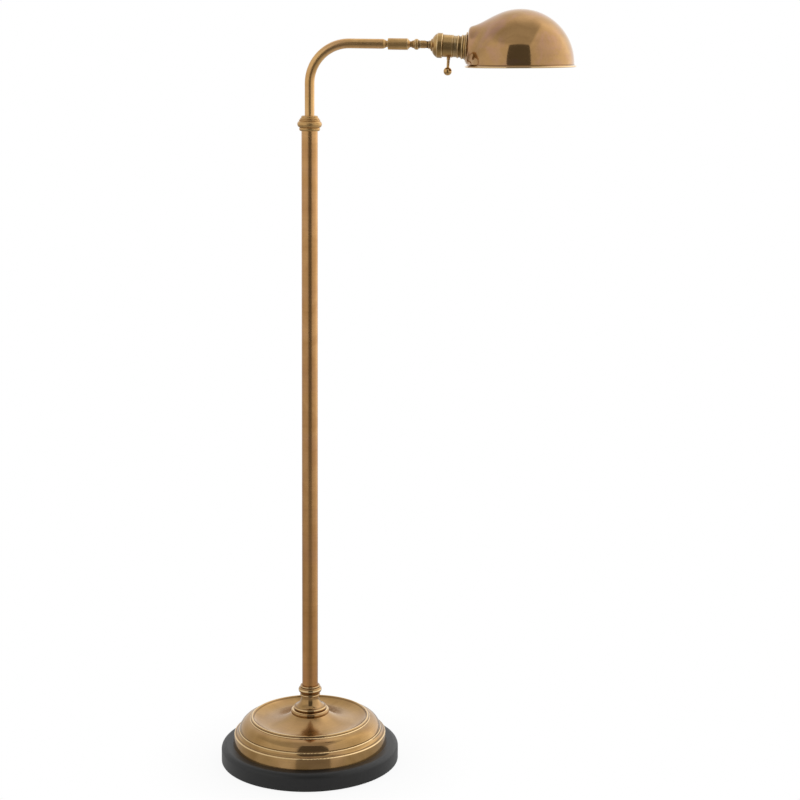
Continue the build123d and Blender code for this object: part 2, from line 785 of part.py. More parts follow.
# Fork of the tilt knuckle
with BuildPart() as knuckle_fork:
    with BuildSketch(stand):
        with BuildLine():
            Polyline(
                (bead_end, arm_z),
                (bead_end, arm_z + fork_r - 0.9),
                (bead_end + 0.7, arm_z + fork_r),
                (bead_end + 1.6, arm_z + fork_r),
                (bead_end + 2.0, arm_z + fork_r - 0.8),
                (bead_end + 2.4, arm_z + fork_r - 0.8),
                (bead_end + 2.8, arm_z + fork_r),
                (pivot_x + fork_round, arm_z + fork_r),
                (pivot_x + fork_round, arm_z),
                close=True,
            )
        make_face()
    revolve(axis=arm_axis)
    with BuildSketch(pivot_plane.offset(2 * fork_r)):
        with Locations((-2 * fork_r, 0)):
            Rectangle(4 * fork_r, 4 * fork_r)
        Circle(fork_round)
    extrude(amount=-4 * fork_r, mode=Mode.INTERSECT)
    with Locations((slot_x + 2 * fork_r, 0, arm_z)):
        Box(4 * fork_r, 2 * slot_half, 4 * fork_r, mode=Mode.SUBTRACT)
    with BuildSketch(pivot_plane.offset(2 * fork_r)):
        Circle(pivot_r)
    extrude(amount=-4 * fork_r, mode=Mode.SUBTRACT)
    with BuildSketch(pivot_plane.offset(fork_flat), pivot_plane.offset(-fork_flat - 2 * fork_r)):
        Circle(pivot_head_r + side_gap)
    extrude(amount=2 * fork_r, mode=Mode.SUBTRACT)
    with BuildSketch(arm_end.offset(bead_end)):
        Circle(wire_r)
    extrude(amount=fork_base, mode=Mode.SUBTRACT)
knuckle_fork.part.label = "knuckle_fork"
export_step(knuckle_fork.part, "parts/knuckle_fork.step")

# Slotted pivot screw and its nut
with BuildPart() as pivot_screw:
    with BuildSketch(pivot_plane.offset(fork_flat)):
        Circle(pivot_head_r)
    extrude(amount=pivot_head_t)
    fillet(pivot_screw.edges().sort_by(Axis.Y)[0], radius=0.4)
    with BuildSketch(pivot_plane.offset(fork_flat)):
        Circle(pivot_r)
    extrude(amount=-2 * fork_flat - pivot_nut_t - 0.4)
    with Locations(pivot_plane.offset(fork_flat + pivot_head_t)):
        Box(4 * pivot_head_r, 0.7, 1.2, mode=Mode.SUBTRACT)
pivot_screw.part.label = "pivot_screw"
export_step(pivot_screw.part, "parts/pivot_screw.step")

with BuildPart() as pivot_nut:
    with BuildSketch(pivot_plane.offset(-fork_flat)):
        RegularPolygon(radius=pivot_head_r, side_count=6)
        Circle(pivot_r, mode=Mode.SUBTRACT)
    extrude(amount=-pivot_nut_t)
pivot_nut.part.label = "pivot_nut"
export_step(pivot_nut.part, "parts/pivot_nut.step")

# Tongue of the tilt knuckle with its turned stem
with BuildPart() as knuckle_tongue:
    with BuildSketch(head_plane.offset(-tongue_half)):
        Circle(tongue_round)
        with Locations((stem_start / 2, 0)):
            Rectangle(stem_start, tongue_round * 2)
    extrude(amount=tongue_half * 2)
    with BuildSketch(head_plane):
        with BuildLine():
            Polyline(
                (stem_start, 0),
                (stem_start, stem_r - 0.8),
                (stem_start + 0.4, stem_r - 0.4),
                (stem_start + 1.2, stem_r - 0.4),
                (stem_start + 1.5, stem_r - 1.4),
                (stem_start + 1.9, stem_r - 1.4),
                (stem_start + 2.2, stem_r),
                (stem_start + 2.8, stem_r),
                (cap_start - 0.4, stem_r - 0.6),
                (cap_start, stem_r - 0.6),
                (cap_start, 0),
                close=True,
            )
        make_face()
    revolve(axis=head_axis)
    with BuildSketch(head_plane.offset(2 * fork_r)):
        Circle(pivot_r + run_gap)
    extrude(amount=-4 * fork_r, mode=Mode.SUBTRACT)
    with BuildSketch(head_end.offset(stem_start - 1.5)):
        Circle(tongue_half - 0.6)
    extrude(amount=stem_len + 1.5, mode=Mode.SUBTRACT)
knuckle_tongue.part.label = "knuckle_tongue"
export_step(knuckle_tongue.part, "parts/knuckle_tongue.step")

# Friction washers either side of the tongue
with BuildPart() as pivot_washers:
    with BuildSketch(head_plane.offset(tongue_half), head_plane.offset(-tongue_half - pivot_washer_t)):
        Circle(tongue_round - 0.4)
        Circle(pivot_r + run_gap, mode=Mode.SUBTRACT)
    extrude(amount=pivot_washer_t)
pivot_washers.part.label = "pivot_washers"
export_step(pivot_washers.part, "parts/pivot_washers.step")

# Domed socket cap with its bead
cap_hole_r = tongue_half - 0.6
with BuildPart() as socket_cap:
    with BuildSketch(head_plane):
        with BuildLine():
            Line((cap_start, cap_hole_r), (cap_start, cap_neck_r))
            ThreePointArc(
                (cap_start, cap_neck_r),
                (cap_start + 0.9, cap_neck_r + 1.1),
                (cap_start + 2.2, cap_neck_r + 1.6),
            )
            SagittaArc((cap_start + 2.2, cap_neck_r + 1.6), (cap_bead_start - 0.6, cap_r - 1.3), 0.9)
            Line((cap_bead_start - 0.6, cap_r - 1.3), (cap_bead_start, cap_r - 1.0))
            ThreePointArc(
                (cap_bead_start, cap_r - 1.0),
                (cap_bead_start + 0.9, cap_r - 0.2),
                (cap_bead_start + 2.2, cap_r),
            )
            Line((cap_bead_start + 2.2, cap_r), (cap_end - 2.2, cap_r))
            ThreePointArc((cap_end - 2.2, cap_r), (cap_end - 0.8, cap_r - 0.3), (cap_end, cap_r - 1.2))
            Line((cap_end, cap_r - 1.2), (cap_end, shell_r))
            Line((cap_end, shell_r), (cap_bead_start + 0.5, shell_r))
            Line((cap_bead_start + 0.5, shell_r), (cap_bead_start + 0.5, cap_r - 2.7))
            SagittaArc((cap_bead_start + 0.5, cap_r - 2.7), (cap_start + 2.4, cap_neck_r + 0.2), -0.9)
            Line((cap_start + 2.4, cap_neck_r + 0.2), (cap_start + 2.4, cap_hole_r))
            Line((cap_start + 2.4, cap_hole_r), (cap_start, cap_hole_r))
        make_face()
    revolve(axis=head_axis)
socket_cap.part.label = "socket_cap"
export_step(socket_cap.part, "parts/socket_cap.step")

# Brass shell of the socket
with BuildPart() as socket_shell:
    with BuildSketch(head_plane):
        with BuildLine():
            Polyline(
                (cap_bead_start + 0.5, thread_r),
                (cap_bead_start + 0.5, shell_r),
                (shell_end - 1.0, shell_r),
                (shell_end - 0.9, shell_r + 0.35),
                (shell_end - 0.2, shell_r + 0.35),
                (shell_end, shell_r),
                (shell_end, thread_r),
                close=True,
            )
        make_face()
    revolve(axis=head_axis)
    with BuildSketch(switch_plane):
        Circle(switch_bush_r)
    extrude(amount=2 * shell_r, mode=Mode.SUBTRACT)
socket_shell.part.label = "socket_shell"
export_step(socket_shell.part, "parts/socket_shell.step")

# Grooved tube that carries the shade
with BuildPart() as shade_tube:
    with BuildSketch(head_plane):
        with BuildLine():
            Polyline(
                (shell_end - 2.2, thread_in_r),
                (thread_end, thread_in_r),
                (thread_end, thread_r),
                (shell_end - 2.2, thread_r),
                close=True,
            )
        make_face()
        with Locations(
            (shell_end + 1.6, thread_r),
            (shell_end + 3.6, thread_r),
            (shell_end + 5.6, thread_r),
            (lock_ring_end + ring_space / 2, thread_r),
        ):
            Rectangle(1.0, 2 * groove, mode=Mode.SUBTRACT)
    revolve(axis=head_axis)
shade_tube.part.label = "shade_tube"
export_step(shade_tube.part, "parts/shade_tube.step")

# Insulating liner
with BuildPart() as socket_liner:
    with BuildSketch(head_end.offset(body_start - 1)):
        Circle(liner_r)
        Circle(liner_in_r, mode=Mode.SUBTRACT)
    extrude(amount=screw_end - body_start + 1)
    with BuildSketch(switch_plane):
        Circle(switch_bush_r)
    extrude(amount=2 * shell_r, mode=Mode.SUBTRACT)
socket_liner.part.label = "socket_liner"
export_step(socket_liner.part, "parts/socket_liner.step")

# Ceramic body of the socket
with BuildPart() as socket_body:
    with BuildSketch(head_end.offset(body_start)):
        Circle(body_r)
    extrude(amount=body_end - body_start)
    with BuildSketch(switch_plane.offset(switch_in - 1)):
        Circle(switch_bush_r)
    extrude(amount=2 * shell_r, mode=Mode.SUBTRACT)
socket_body.part.label = "socket_body"
export_step(socket_body.part, "parts/socket_body.step")

# Terminal screws on the back of the body
with BuildPart() as terminal_screws:
    with BuildSketch(head_end.offset(body_start)):
        with Locations((-8, 0), (8, 0)):
            Circle(2.4)
    extrude(amount=-1.6)
    with Locations(head_end.offset(body_start - 1.6)):
        with Locations((-8, 0), (8, 0)):
            Box(6, 0.7, 1.0, mode=Mode.SUBTRACT)
terminal_screws.part.label = "terminal_screws"
export_step(terminal_screws.part, "parts/terminal_screws.step")

# Screw shell and centre contact
with BuildPart() as screw_shell:
    with BuildSketch(head_end.offset(body_end)):
        Circle(screw_r)
        Circle(screw_in_r, mode=Mode.SUBTRACT)
    extrude(amount=screw_len)
screw_shell.part.label = "screw_shell"
export_step(screw_shell.part, "parts/screw_shell.step")

with BuildPart() as centre_contact:
    with BuildSketch(head_end.offset(body_end)):
        Circle(4.5)
    extrude(amount=contact_t)
centre_contact.part.label = "centre_contact"
export_step(centre_contact.part, "parts/centre_contact.step")

# Bulb
with BuildPart() as bulb_contact:
    with BuildSketch(head_end.offset(body_end + contact_t)):
        Circle(4.0)
    extrude(amount=tip_t)
bulb_contact.part.label = "bulb_contact"
export_step(bulb_contact.part, "parts/bulb_contact.step")

with BuildPart() as bulb_cap:
    with BuildSketch(head_plane):
        with BuildLine():
            Polyline(
                (bulb_tip, 0),
                (bulb_tip, 4.6),
                (bulb_tip + 3.4, bulb_cap_r),
                (screw_end + 2, bulb_cap_r),
                (screw_end + 2, bulb_cap_r - 0.5),
                (bulb_tip + 3.8, bulb_cap_r - 0.5),
                (bulb_tip + 0.8, 4.4),
                (bulb_tip + 0.8, 0),
                close=True,
            )
        make_face()
    revolve(axis=head_axis)
bulb_cap.part.label = "bulb_cap"
export_step(bulb_cap.part, "parts/bulb_cap.step")

glass_r = bulb_cap_r - 0.5
with BuildPart() as bulb_glass:
    with BuildSketch(head_plane):
        with BuildLine():
            Line((screw_end - 6, glass_r - glass_t), (screw_end - 6, glass_r))
            Line((screw_end - 6, glass_r), (screw_end + 4, glass_r))
            Spline((screw_end + 4, glass_r), (screw_end + 18, bulb_r), tangents=((1, 0), (1, 0)))
            Line((screw_end + 18, bulb_r), (bulb_end - bulb_r, bulb_r))
            RadiusArc((bulb_end - bulb_r, bulb_r), (bulb_end, 0), bulb_r)
            Line((bulb_end, 0), (bulb_end - glass_t, 0))
            RadiusArc((bulb_end - glass_t, 0), (bulb_end - bulb_r, bulb_r - glass_t), -(bulb_r - glass_t))
            Line((bulb_end - bulb_r, bulb_r - glass_t), (screw_end + 18, bulb_r - glass_t))
            Spline(
                (screw_end + 18, bulb_r - glass_t),
                (screw_end + 4, glass_r - glass_t),
                tangents=((-1, 0), (-1, 0)),
            )
            Line((screw_end + 4, glass_r - glass_t), (screw_end - 6, glass_r - glass_t))
        make_face()
    revolve(axis=head_axis)
bulb_glass.part.label = "bulb_glass"
export_step(bulb_glass.part, "parts/bulb_glass.step")

# Lock ring and flared holder on the shade tube
with BuildPart() as lock_ring:
    with BuildSketch(head_plane):
        with BuildLine():
            Line((lock_ring_start, thread_r), (lock_ring_start, thread_r + 0.5))
            SagittaArc((lock_ring_start, thread_r + 0.5), (lock_ring_end, thread_r + 0.5), 0.6)
            Line((lock_ring_end, thread_r + 0.5), (lock_ring_end, thread_r))
            Line((lock_ring_end, thread_r), (lock_ring_start, thread_r))
        make_face()
    revolve(axis=head_axis)
lock_ring.part.label = "lock_ring"
export_step(lock_ring.part, "parts/lock_ring.step")

with BuildPart() as shade_holder:
    with BuildSketch(head_plane):
        with BuildLine():
            Line((holder_start, thread_r), (holder_start, thread_r + 1.0))
            ThreePointArc(
                (holder_start, thread_r + 1.0),
                (holder_start + 1.5, thread_r + 2.0),
                (holder_start + 3.0, thread_r + 1.4),
            )
            ThreePointArc(
                (holder_start + 3.0, thread_r + 1.4),
                (holder_end - 3.0, thread_r + 2.6),
                (holder_end - 1.6, holder_r - 0.5),
            )
            ThreePointArc(
                (holder_end - 1.6, holder_r - 0.5),
                (holder_end - 0.8, holder_r),
                (holder_end, holder_r - 0.5),
            )
            Line((holder_end, holder_r - 0.5), (holder_end, thread_r))
            Line((holder_end, thread_r), (holder_start, thread_r))
        make_face()
    revolve(axis=head_axis)
shade_holder.part.label = "shade_holder"
export_step(shade_holder.part, "parts/shade_holder.step")

# Gasket between holder and shade
with BuildPart() as shade_gasket:
    with BuildSketch(head_end.offset(holder_end)):
        Circle(thread_r + gasket_w)
        Circle(thread_r, mode=Mode.SUBTRACT)
    extrude(amount=gasket_t)
shade_gasket.part.label = "shade_gasket"
export_step(shade_gasket.part, "parts/shade_gasket.step")

# Outer form of the shade
with BuildPart() as shade_form:
    with BuildSketch(dome_plane):
        with BuildLine():
            Line((0, 0), (dome_r, 0))
            Line((dome_r, 0), (dome_r, dome_wall_h))
            RadiusArc((dome_r, dome_wall_h), (0, dome_wall_h + dome_r), -dome_r)
            Line((0, dome_wall_h + dome_r), (0, 0))
        make_face()
    revolve(axis=dome_axis)
    with BuildSketch(head_plane):
        with BuildLine():
            Line((gasket_end, 0), (gasket_end, shade_neck_r))
            ThreePointArc(
                (gasket_end, shade_neck_r),
                (gasket_end + 1.1, shade_neck_r + 3.0),
                (gasket_end + 3.4, shade_neck_r + 4.5),
            )
            Spline(
                (gasket_end + 3.4, shade_neck_r + 4.5),
                (gasket_end + 9, shade_neck_r + 6.6),
                (gasket_end + 15, shade_neck_r + 9.3),
                (gasket_end + 21, shade_neck_r + 12.6),
                (gasket_end + 27, shade_neck_r + 16.3),
                (gasket_end + 33, shade_neck_r + 20.2),
                (gasket_end + 40, shade_neck_r + 24.3),
                (gasket_end + 48, shade_neck_r + 27.8),
            )
            Line((gasket_end + 48, shade_neck_r + 27.8), (gasket_end + 48, 0))
            Line((gasket_end + 48, 0), (gasket_end, 0))
        make_face()
    revolve(axis=head_axis)

# Inner form of the shade
with BuildPart() as shade_hollow:
    with BuildSketch(dome_plane):
        with BuildLine():
            Line((0, -dome_r), (dome_in_r, -dome_r))
            Line((dome_in_r, -dome_r), (dome_in_r, dome_wall_h))
            RadiusArc((dome_in_r, dome_wall_h), (0, dome_wall_h + dome_in_r), -dome_in_r)
            Line((0, dome_wall_h + dome_in_r), (0, -dome_r))
        make_face()
    revolve(axis=dome_axis)
    with BuildSketch(head_plane):
        with BuildLine():
            Line((clamp_start, 0), (clamp_start, shade_neck_r - 0.6))
            ThreePointArc(
                (clamp_start, shade_neck_r - 0.6),
                (clamp_start + 0.7, shade_neck_r + 1.8),
                (clamp_start + 2.6, shade_neck_r + 3.3),
            )
            Spline(
                (clamp_start + 2.6, shade_neck_r + 3.3),
                (clamp_start + 8.3, shade_neck_r + 5.4),
                (clamp_start + 14.4, shade_neck_r + 8.2),
                (clamp_start + 20.4, shade_neck_r + 11.5),
                (clamp_start + 26.4, shade_neck_r + 15.2),
                (clamp_start + 32.4, shade_neck_r + 19.1),
                (clamp_start + 39.2, shade_neck_r + 23.1),
                (clamp_start + 47.0, shade_neck_r + 26.6),
            )
            Line((clamp_start + 47.0, shade_neck_r + 26.6), (clamp_start + 47.0, 0))
            Line((clamp_start + 47.0, 0), (clamp_start, 0))
        make_face()
    revolve(axis=head_axis)

# Shade with its hole and flared rim
with BuildPart() as shade:
    add(shade_form.part)
    add(shade_hollow.part, mode=Mode.SUBTRACT)
    split(bisect_by=rim_plane.offset(2.4), keep=Keep.TOP)
    with BuildSketch(head_end.offset(gasket_end - shade_t)):
        Circle(shade_hole_r)
    extrude(amount=4 * shade_t, mode=Mode.SUBTRACT)
    with BuildSketch(dome_plane):
        with BuildLine():
            Line((dome_in_r, dome_wall_h - 0.4), (dome_r, dome_wall_h - 0.4))
            ThreePointArc((dome_r, dome_wall_h - 0.4), (dome_r + 0.7, 2.9), (rim_r - 1.2, 2.0))
            ThreePointArc((rim_r - 1.2, 2.0), (rim_r, 1.0), (rim_r - 1.2, 0))
            Line((rim_r - 1.2, 0), (dome_in_r + 0.6, 0.6))
            Line((dome_in_r + 0.6, 0.6), (dome_in_r, 1.2))
            Line((dome_in_r, 1.2), (dome_in_r, dome_wall_h - 0.4))
        make_face()
    revolve(axis=dome_axis)
shade.part.label = "shade"
export_step(shade.part, "parts/shade.step")

# Ring that clamps the shade from inside
with BuildPart() as clamp_ring:
    with BuildSketch(head_end.offset(clamp_start)):
        Circle(thread_r + clamp_w)
        Circle(thread_r, mode=Mode.SUBTRACT)
    extrude(amount=clamp_t)
clamp_ring.part.label = "clamp_ring"
export_step(clamp_ring.part, "parts/clamp_ring.step")

# Bushing of the turn switch
with BuildPart() as switch_bushing:
    with BuildSketch(switch_plane.offset(bush_in)):
        Circle(switch_bush_r)
        Circle(switch_shaft_r + run_gap, mode=Mode.SUBTRACT)
    extrude(amount=switch_bush_end - bush_in)
switch_bushing.part.label = "switch_bushing"
export_step(switch_bushing.part, "parts/switch_bushing.step")

# Switch stem
with BuildPart() as switch_stem:
    with BuildSketch(switch_plane.offset(switch_in)):
        Circle(switch_shaft_r)
    extrude(amount=switch_rod_start - switch_in)
    with BuildSketch(switch_plane.offset(switch_rod_start)):
        Circle(switch_rod_r)
    extrude(amount=switch_rod_len)
switch_stem.part.label = "switch_stem"
export_step(switch_stem.part, "parts/switch_stem.step")

# Ball on the switch stem
with BuildPart() as switch_knob:
    with Locations(switch_plane.offset(knob_d)):
        Sphere(knob_r)
    with BuildSketch(switch_plane.offset(switch_rod_start)):
        Circle(switch_rod_r)
    extrude(amount=switch_rod_len, mode=Mode.SUBTRACT)
switch_knob.part.label = "switch_knob"
export_step(switch_knob.part, "parts/switch_knob.step")
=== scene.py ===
import json
import math

import bmesh
import bpy
from mathutils import Matrix, Vector


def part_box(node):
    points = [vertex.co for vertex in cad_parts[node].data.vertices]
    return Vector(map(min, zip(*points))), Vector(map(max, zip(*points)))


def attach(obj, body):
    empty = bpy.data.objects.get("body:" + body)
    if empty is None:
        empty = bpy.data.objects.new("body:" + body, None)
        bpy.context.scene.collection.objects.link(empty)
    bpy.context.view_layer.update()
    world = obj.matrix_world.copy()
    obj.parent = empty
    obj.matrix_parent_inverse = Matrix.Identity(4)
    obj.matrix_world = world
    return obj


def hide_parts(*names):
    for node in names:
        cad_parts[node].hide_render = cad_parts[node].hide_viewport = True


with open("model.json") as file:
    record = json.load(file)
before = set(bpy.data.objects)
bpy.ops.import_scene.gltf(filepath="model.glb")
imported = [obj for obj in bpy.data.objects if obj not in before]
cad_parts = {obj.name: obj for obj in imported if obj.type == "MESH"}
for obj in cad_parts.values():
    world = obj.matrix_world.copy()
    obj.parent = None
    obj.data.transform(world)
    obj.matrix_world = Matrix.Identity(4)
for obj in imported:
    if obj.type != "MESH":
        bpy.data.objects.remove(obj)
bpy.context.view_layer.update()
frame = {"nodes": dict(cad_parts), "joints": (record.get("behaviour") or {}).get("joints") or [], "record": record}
nodes = frame["nodes"]
scene = bpy.context.scene
scene.view_settings.view_transform = "Standard"
slotOf = {row["node"]: row["material_slot"] for row in frame["record"]["subparts"]}
print("frame loaded:", len(nodes), "CAD nodes")


# Small helpers for node trees

def addNode(tree, kind, at=(0, 0), inputs=None, **settings):
    node = tree.nodes.new("ShaderNode" + kind)
    node.location = at
    for name, value in settings.items():
        setattr(node, name, value)
    for name, value in (inputs or {}).items():
        node.inputs[name].default_value = value
    return node


def join(tree, fromNode, output, toNode, target):
    tree.links.new(fromNode.outputs[output], toNode.inputs[target])


def feed(tree, socket, value):
    if isinstance(value, bpy.types.NodeSocket):
        tree.links.new(value, socket)
    elif value is not None:
        socket.default_value = value


def mathNode(tree, operation, first, second, at=(0, 0), clamp=False):
    node = addNode(tree, "Math", at, operation=operation, use_clamp=clamp)
    feed(tree, node.inputs[0], first)
    feed(tree, node.inputs[1], second)
    return node.outputs[0]


def mixColor(tree, factor, first, second, at=(0, 0), blend="MIX"):
    node = addNode(tree, "Mix", at, data_type="RGBA", blend_type=blend)
    for index, value in ((0, factor), (6, first), (7, second)):  # a Mix node has its colours at 6 and 7
        feed(tree, node.inputs[index], value)
    return node.outputs[2]


def grey(level):
    return (level, level, level, 1)


def ramp(tree, value, stops, at=(0, 0)):
    node = addNode(tree, "ValToRGB", at)
    band = node.color_ramp
    while len(band.elements) < len(stops):
        band.elements.new(0.5)
    for element, (place, shade) in zip(band.elements, stops):
        element.position = place
        element.color = shade if isinstance(shade, tuple) else grey(shade)
    tree.links.new(value, node.inputs[0])
    return node.outputs[0]


def smoothStep(tree, value, low, high, at=(0, 0)):
    limits = {"From Min": low, "From Max": high}
    node = addNode(tree, "MapRange", at, limits, interpolation_type="SMOOTHSTEP")
    tree.links.new(value, node.inputs["Value"])
    return node.outputs[0]


def newGroup(name, inputs, outputs):
    group = bpy.data.node_groups.new(name, "ShaderNodeTree")
    for side, sockets in (("INPUT", inputs), ("OUTPUT", outputs)):
        for label, kind in sockets:
            group.interface.new_socket(label, in_out=side, socket_type="NodeSocket" + kind)
    start = group.nodes.new("NodeGroupInput")
    start.location = (-900, 0)
    end = group.nodes.new("NodeGroupOutput")
    end.location = (900, 0)
    return group, start, end


def placeGroup(tree, group, vector, values, at=(-500, 0)):
    node = tree.nodes.new("ShaderNodeGroup")
    node.node_tree = group
    node.location = at
    tree.links.new(vector, node.inputs["Vector"])
    for name, value in values.items():
        node.inputs[name].default_value = value
    return node


def newMaterial(name):
    material = bpy.data.materials.new(name)
    material.use_nodes = True
    tree = material.node_tree
    shader = tree.nodes["Principled BSDF"]
    coords = addNode(tree, "TexCoord", (-1500, 0))
    return material, tree, shader, coords.outputs["Object"]


# Clouded old brass, shared by all the brass finishes

agedLook = {
    "cloud": {"Detail": 5.0, "Roughness": 0.55, "Distortion": 0.6},
    "blush": {"Detail": 4.0, "Roughness": 0.6, "Distortion": 0.9},
    "grain": {"Scale": 620.0, "Detail": 3.0, "Roughness": 0.6},
    "blushShift": (3.1, 1.7, 5.3), "blushScale": 0.72, "grit": 0.03,
    "tarnishStops": [(0.38, 0.0), (0.66, 1.0)], "roseStops": [(0.46, 0.0), (0.68, 1.0)],
    "speckleStops": [(0.3, 0.94), (0.7, 1.03)],
}


def makeAgedBrass():
    group, start, end = newGroup(
        "agedBrass",
        [("Vector", "Vector"), ("Bright", "Color"), ("Brown", "Color"), ("Rose", "Color"),
         ("Cloud Scale", "Float"), ("Tarnish", "Float"), ("Rose Amount", "Float"), ("Polish", "Float"),
         ("Dullness", "Float")],
        [("Color", "Color"), ("Roughness", "Float"), ("Height", "Float")])
    cloud = addNode(group, "TexNoise", (-600, 300), agedLook["cloud"])
    join(group, start, "Vector", cloud, "Vector")
    join(group, start, "Cloud Scale", cloud, "Scale")
    shifted = addNode(group, "VectorMath", (-760, 0), operation="ADD")
    shifted.inputs[1].default_value = agedLook["blushShift"]
    join(group, start, "Vector", shifted, 0)
    blush = addNode(group, "TexNoise", (-600, 0), agedLook["blush"])
    join(group, shifted, 0, blush, "Vector")
    blushScale = mathNode(
        group, "MULTIPLY", start.outputs["Cloud Scale"], agedLook["blushScale"], (-760, -160))
    group.links.new(blushScale, blush.inputs["Scale"])
    grain = addNode(group, "TexNoise", (-600, -300), agedLook["grain"])
    join(group, start, "Vector", grain, "Vector")
    tarnish = ramp(group, cloud.outputs[0], agedLook["tarnishStops"], (-380, 300))
    tarnish = mathNode(group, "MULTIPLY", tarnish, start.outputs["Tarnish"], (-80, 300))
    rose = ramp(group, blush.outputs[0], agedLook["roseStops"], (-380, 0))
    rose = mathNode(group, "MULTIPLY", rose, start.outputs["Rose Amount"], (-80, 0))
    toned = mixColor(group, tarnish, start.outputs["Bright"], start.outputs["Brown"], (120, 320))
    toned = mixColor(group, rose, toned, start.outputs["Rose"], (320, 260))
    speckle = ramp(group, grain.outputs[0], agedLook["speckleStops"], (-80, -300))
    toned = mixColor(group, 1.0, toned, speckle, (520, 220), "MULTIPLY")
    group.links.new(toned, end.inputs["Color"])
    rough = mathNode(group, "MULTIPLY", cloud.outputs[0], start.outputs["Dullness"], (120, -60))
    rough = mathNode(group, "ADD", rough, start.outputs["Polish"], (320, -60))
    grit = mathNode(group, "MULTIPLY", grain.outputs[0], agedLook["grit"], (320, -240))
    rough = mathNode(group, "ADD", rough, grit, (520, -80), True)
    group.links.new(rough, end.inputs["Roughness"])
    join(group, grain, 0, end, "Height")
    return group


# Fine lines left by turning, with the turned profile (radius, height) for the ring marks

lineLook = {
    "noise": {"Detail": 3.0, "Roughness": 0.7}, "stops": [(0.35, 0.0), (0.65, 1.0)],
    "lift": 0.5,  # share of the darkening by which lines also lighten
}


def makeTurnedLines():
    group, start, end = newGroup(
        "turnedLines", [("Vector", "Vector"), ("Density", "Float")],
        [("Lines", "Float"), ("Height", "Float"), ("Radius", "Float"), ("Profile", "Vector")])
    split = addNode(group, "SeparateXYZ", (-700, 0))
    join(group, start, "Vector", split, 0)
    flat = addNode(group, "CombineXYZ", (-520, 160))
    join(group, split, "X", flat, "X")
    join(group, split, "Y", flat, "Y")
    radius = addNode(group, "VectorMath", (-340, 160), operation="LENGTH")
    join(group, flat, 0, radius, 0)
    profile = addNode(group, "CombineXYZ", (-160, 60))
    join(group, radius, "Value", profile, "X")
    join(group, split, "Z", profile, "Y")
    lines = addNode(group, "TexNoise", (20, 60), lineLook["noise"], noise_dimensions="2D")
    join(group, profile, 0, lines, "Vector")
    join(group, start, "Density", lines, "Scale")
    sharp = ramp(group, lines.outputs[0], lineLook["stops"], (240, 160))
    group.links.new(sharp, end.inputs["Lines"])
    join(group, lines, 0, end, "Height")
    join(group, radius, "Value", end, "Radius")
    join(group, profile, 0, end, "Profile")
    return group


# A soft mark that runs round a turned piece at one place of its profile

markLook = {"core": 0.4}  # share of the width that is fully marked


def makeRingMark():
    group, start, end = newGroup(
        "ringMark", [("Vector", "Vector"), ("Place", "Vector"), ("Width", "Float")], [("Mask", "Float")])
    apart = addNode(group, "VectorMath", (-600, 100), operation="DISTANCE")
    join(group, start, "Vector", apart, 0)
    join(group, start, "Place", apart, 1)
    core = mathNode(group, "MULTIPLY", start.outputs["Width"], markLook["core"], (-600, -120))
    soft = addNode(group, "MapRange", (-300, 60), interpolation_type="SMOOTHSTEP")
    join(group, apart, "Value", soft, "Value")
    join(group, start, "Width", soft, "From Min")
    group.links.new(core, soft.inputs["From Max"])
    join(group, soft, 0, end, "Mask")
    return group


# Plain grain for everything that isn't old brass

grainLook = {
    "fine": {"Detail": 5.0, "Roughness": 0.65}, "broad": {"Scale": 22.0, "Detail": 3.0, "Roughness": 0.5},
    "stops": [(0.32, 0.0), (0.68, 1.0)],
}


def makeFineGrain():
    group, start, end = newGroup(
        "fineGrain",
        [("Vector", "Vector"), ("Scale", "Float"), ("Dark", "Color"), ("Light", "Color"), ("Smooth", "Float"),
         ("Spread", "Float")],
        [("Color", "Color"), ("Roughness", "Float"), ("Height", "Float")])
    fine = addNode(group, "TexNoise", (-600, 100), grainLook["fine"])
    join(group, start, "Vector", fine, "Vector")
    join(group, start, "Scale", fine, "Scale")
    broad = addNode(group, "TexNoise", (-600, -200), grainLook["broad"])
    join(group, start, "Vector", broad, "Vector")
    both = mathNode(group, "ADD", fine.outputs[0], broad.outputs[0], (-380, 0))
    both = mathNode(group, "MULTIPLY", both, 0.5, (-200, 0))  # the mean of the two
    mask = ramp(group, both, grainLook["stops"], (-20, 100))
    toned = mixColor(group, mask, start.outputs["Dark"], start.outputs["Light"], (300, 160))
    group.links.new(toned, end.inputs["Color"])
    rough = mathNode(group, "MULTIPLY", both, start.outputs["Spread"], (300, -60))
    rough = mathNode(group, "ADD", rough, start.outputs["Smooth"], (500, -60), True)
    group.links.new(rough, end.inputs["Roughness"])
    join(group, fine, 0, end, "Height")
    return group


agedBrass = makeAgedBrass()
turnedLines = makeTurnedLines()
ringMark = makeRingMark()
fineGrain = makeFineGrain()
print("shared effects built")


# Rolled rim of the shade, and the dome that it leaves inside the CAD shade's box

shadeRim = {
    "tilt": math.radians(1.1), "wall": 0.006, "wallFoot": 0.0059, "flareWidth": 0.0022, "flareFoot": 0.0027,
    "lipRadius": 0.00135, "lipWidth": 0.0012, "innerEdge": 0.0012, "curveSteps": 6,
}
shadeLow, shadeHigh = (Vector(corner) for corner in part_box("shade"))
domeRadius = (shadeHigh.x - shadeLow.x) / 2 - shadeRim["flareWidth"] - shadeRim["lipWidth"]
rimLean = (shadeRim["wall"] - shadeRim["lipRadius"]) * math.sin(shadeRim["tilt"])
domeCentre = Vector(((shadeLow.x + shadeHigh.x) / 2 - rimLean, 0, shadeHigh.z - domeRadius))


# Axes of the turned pieces, from the joints

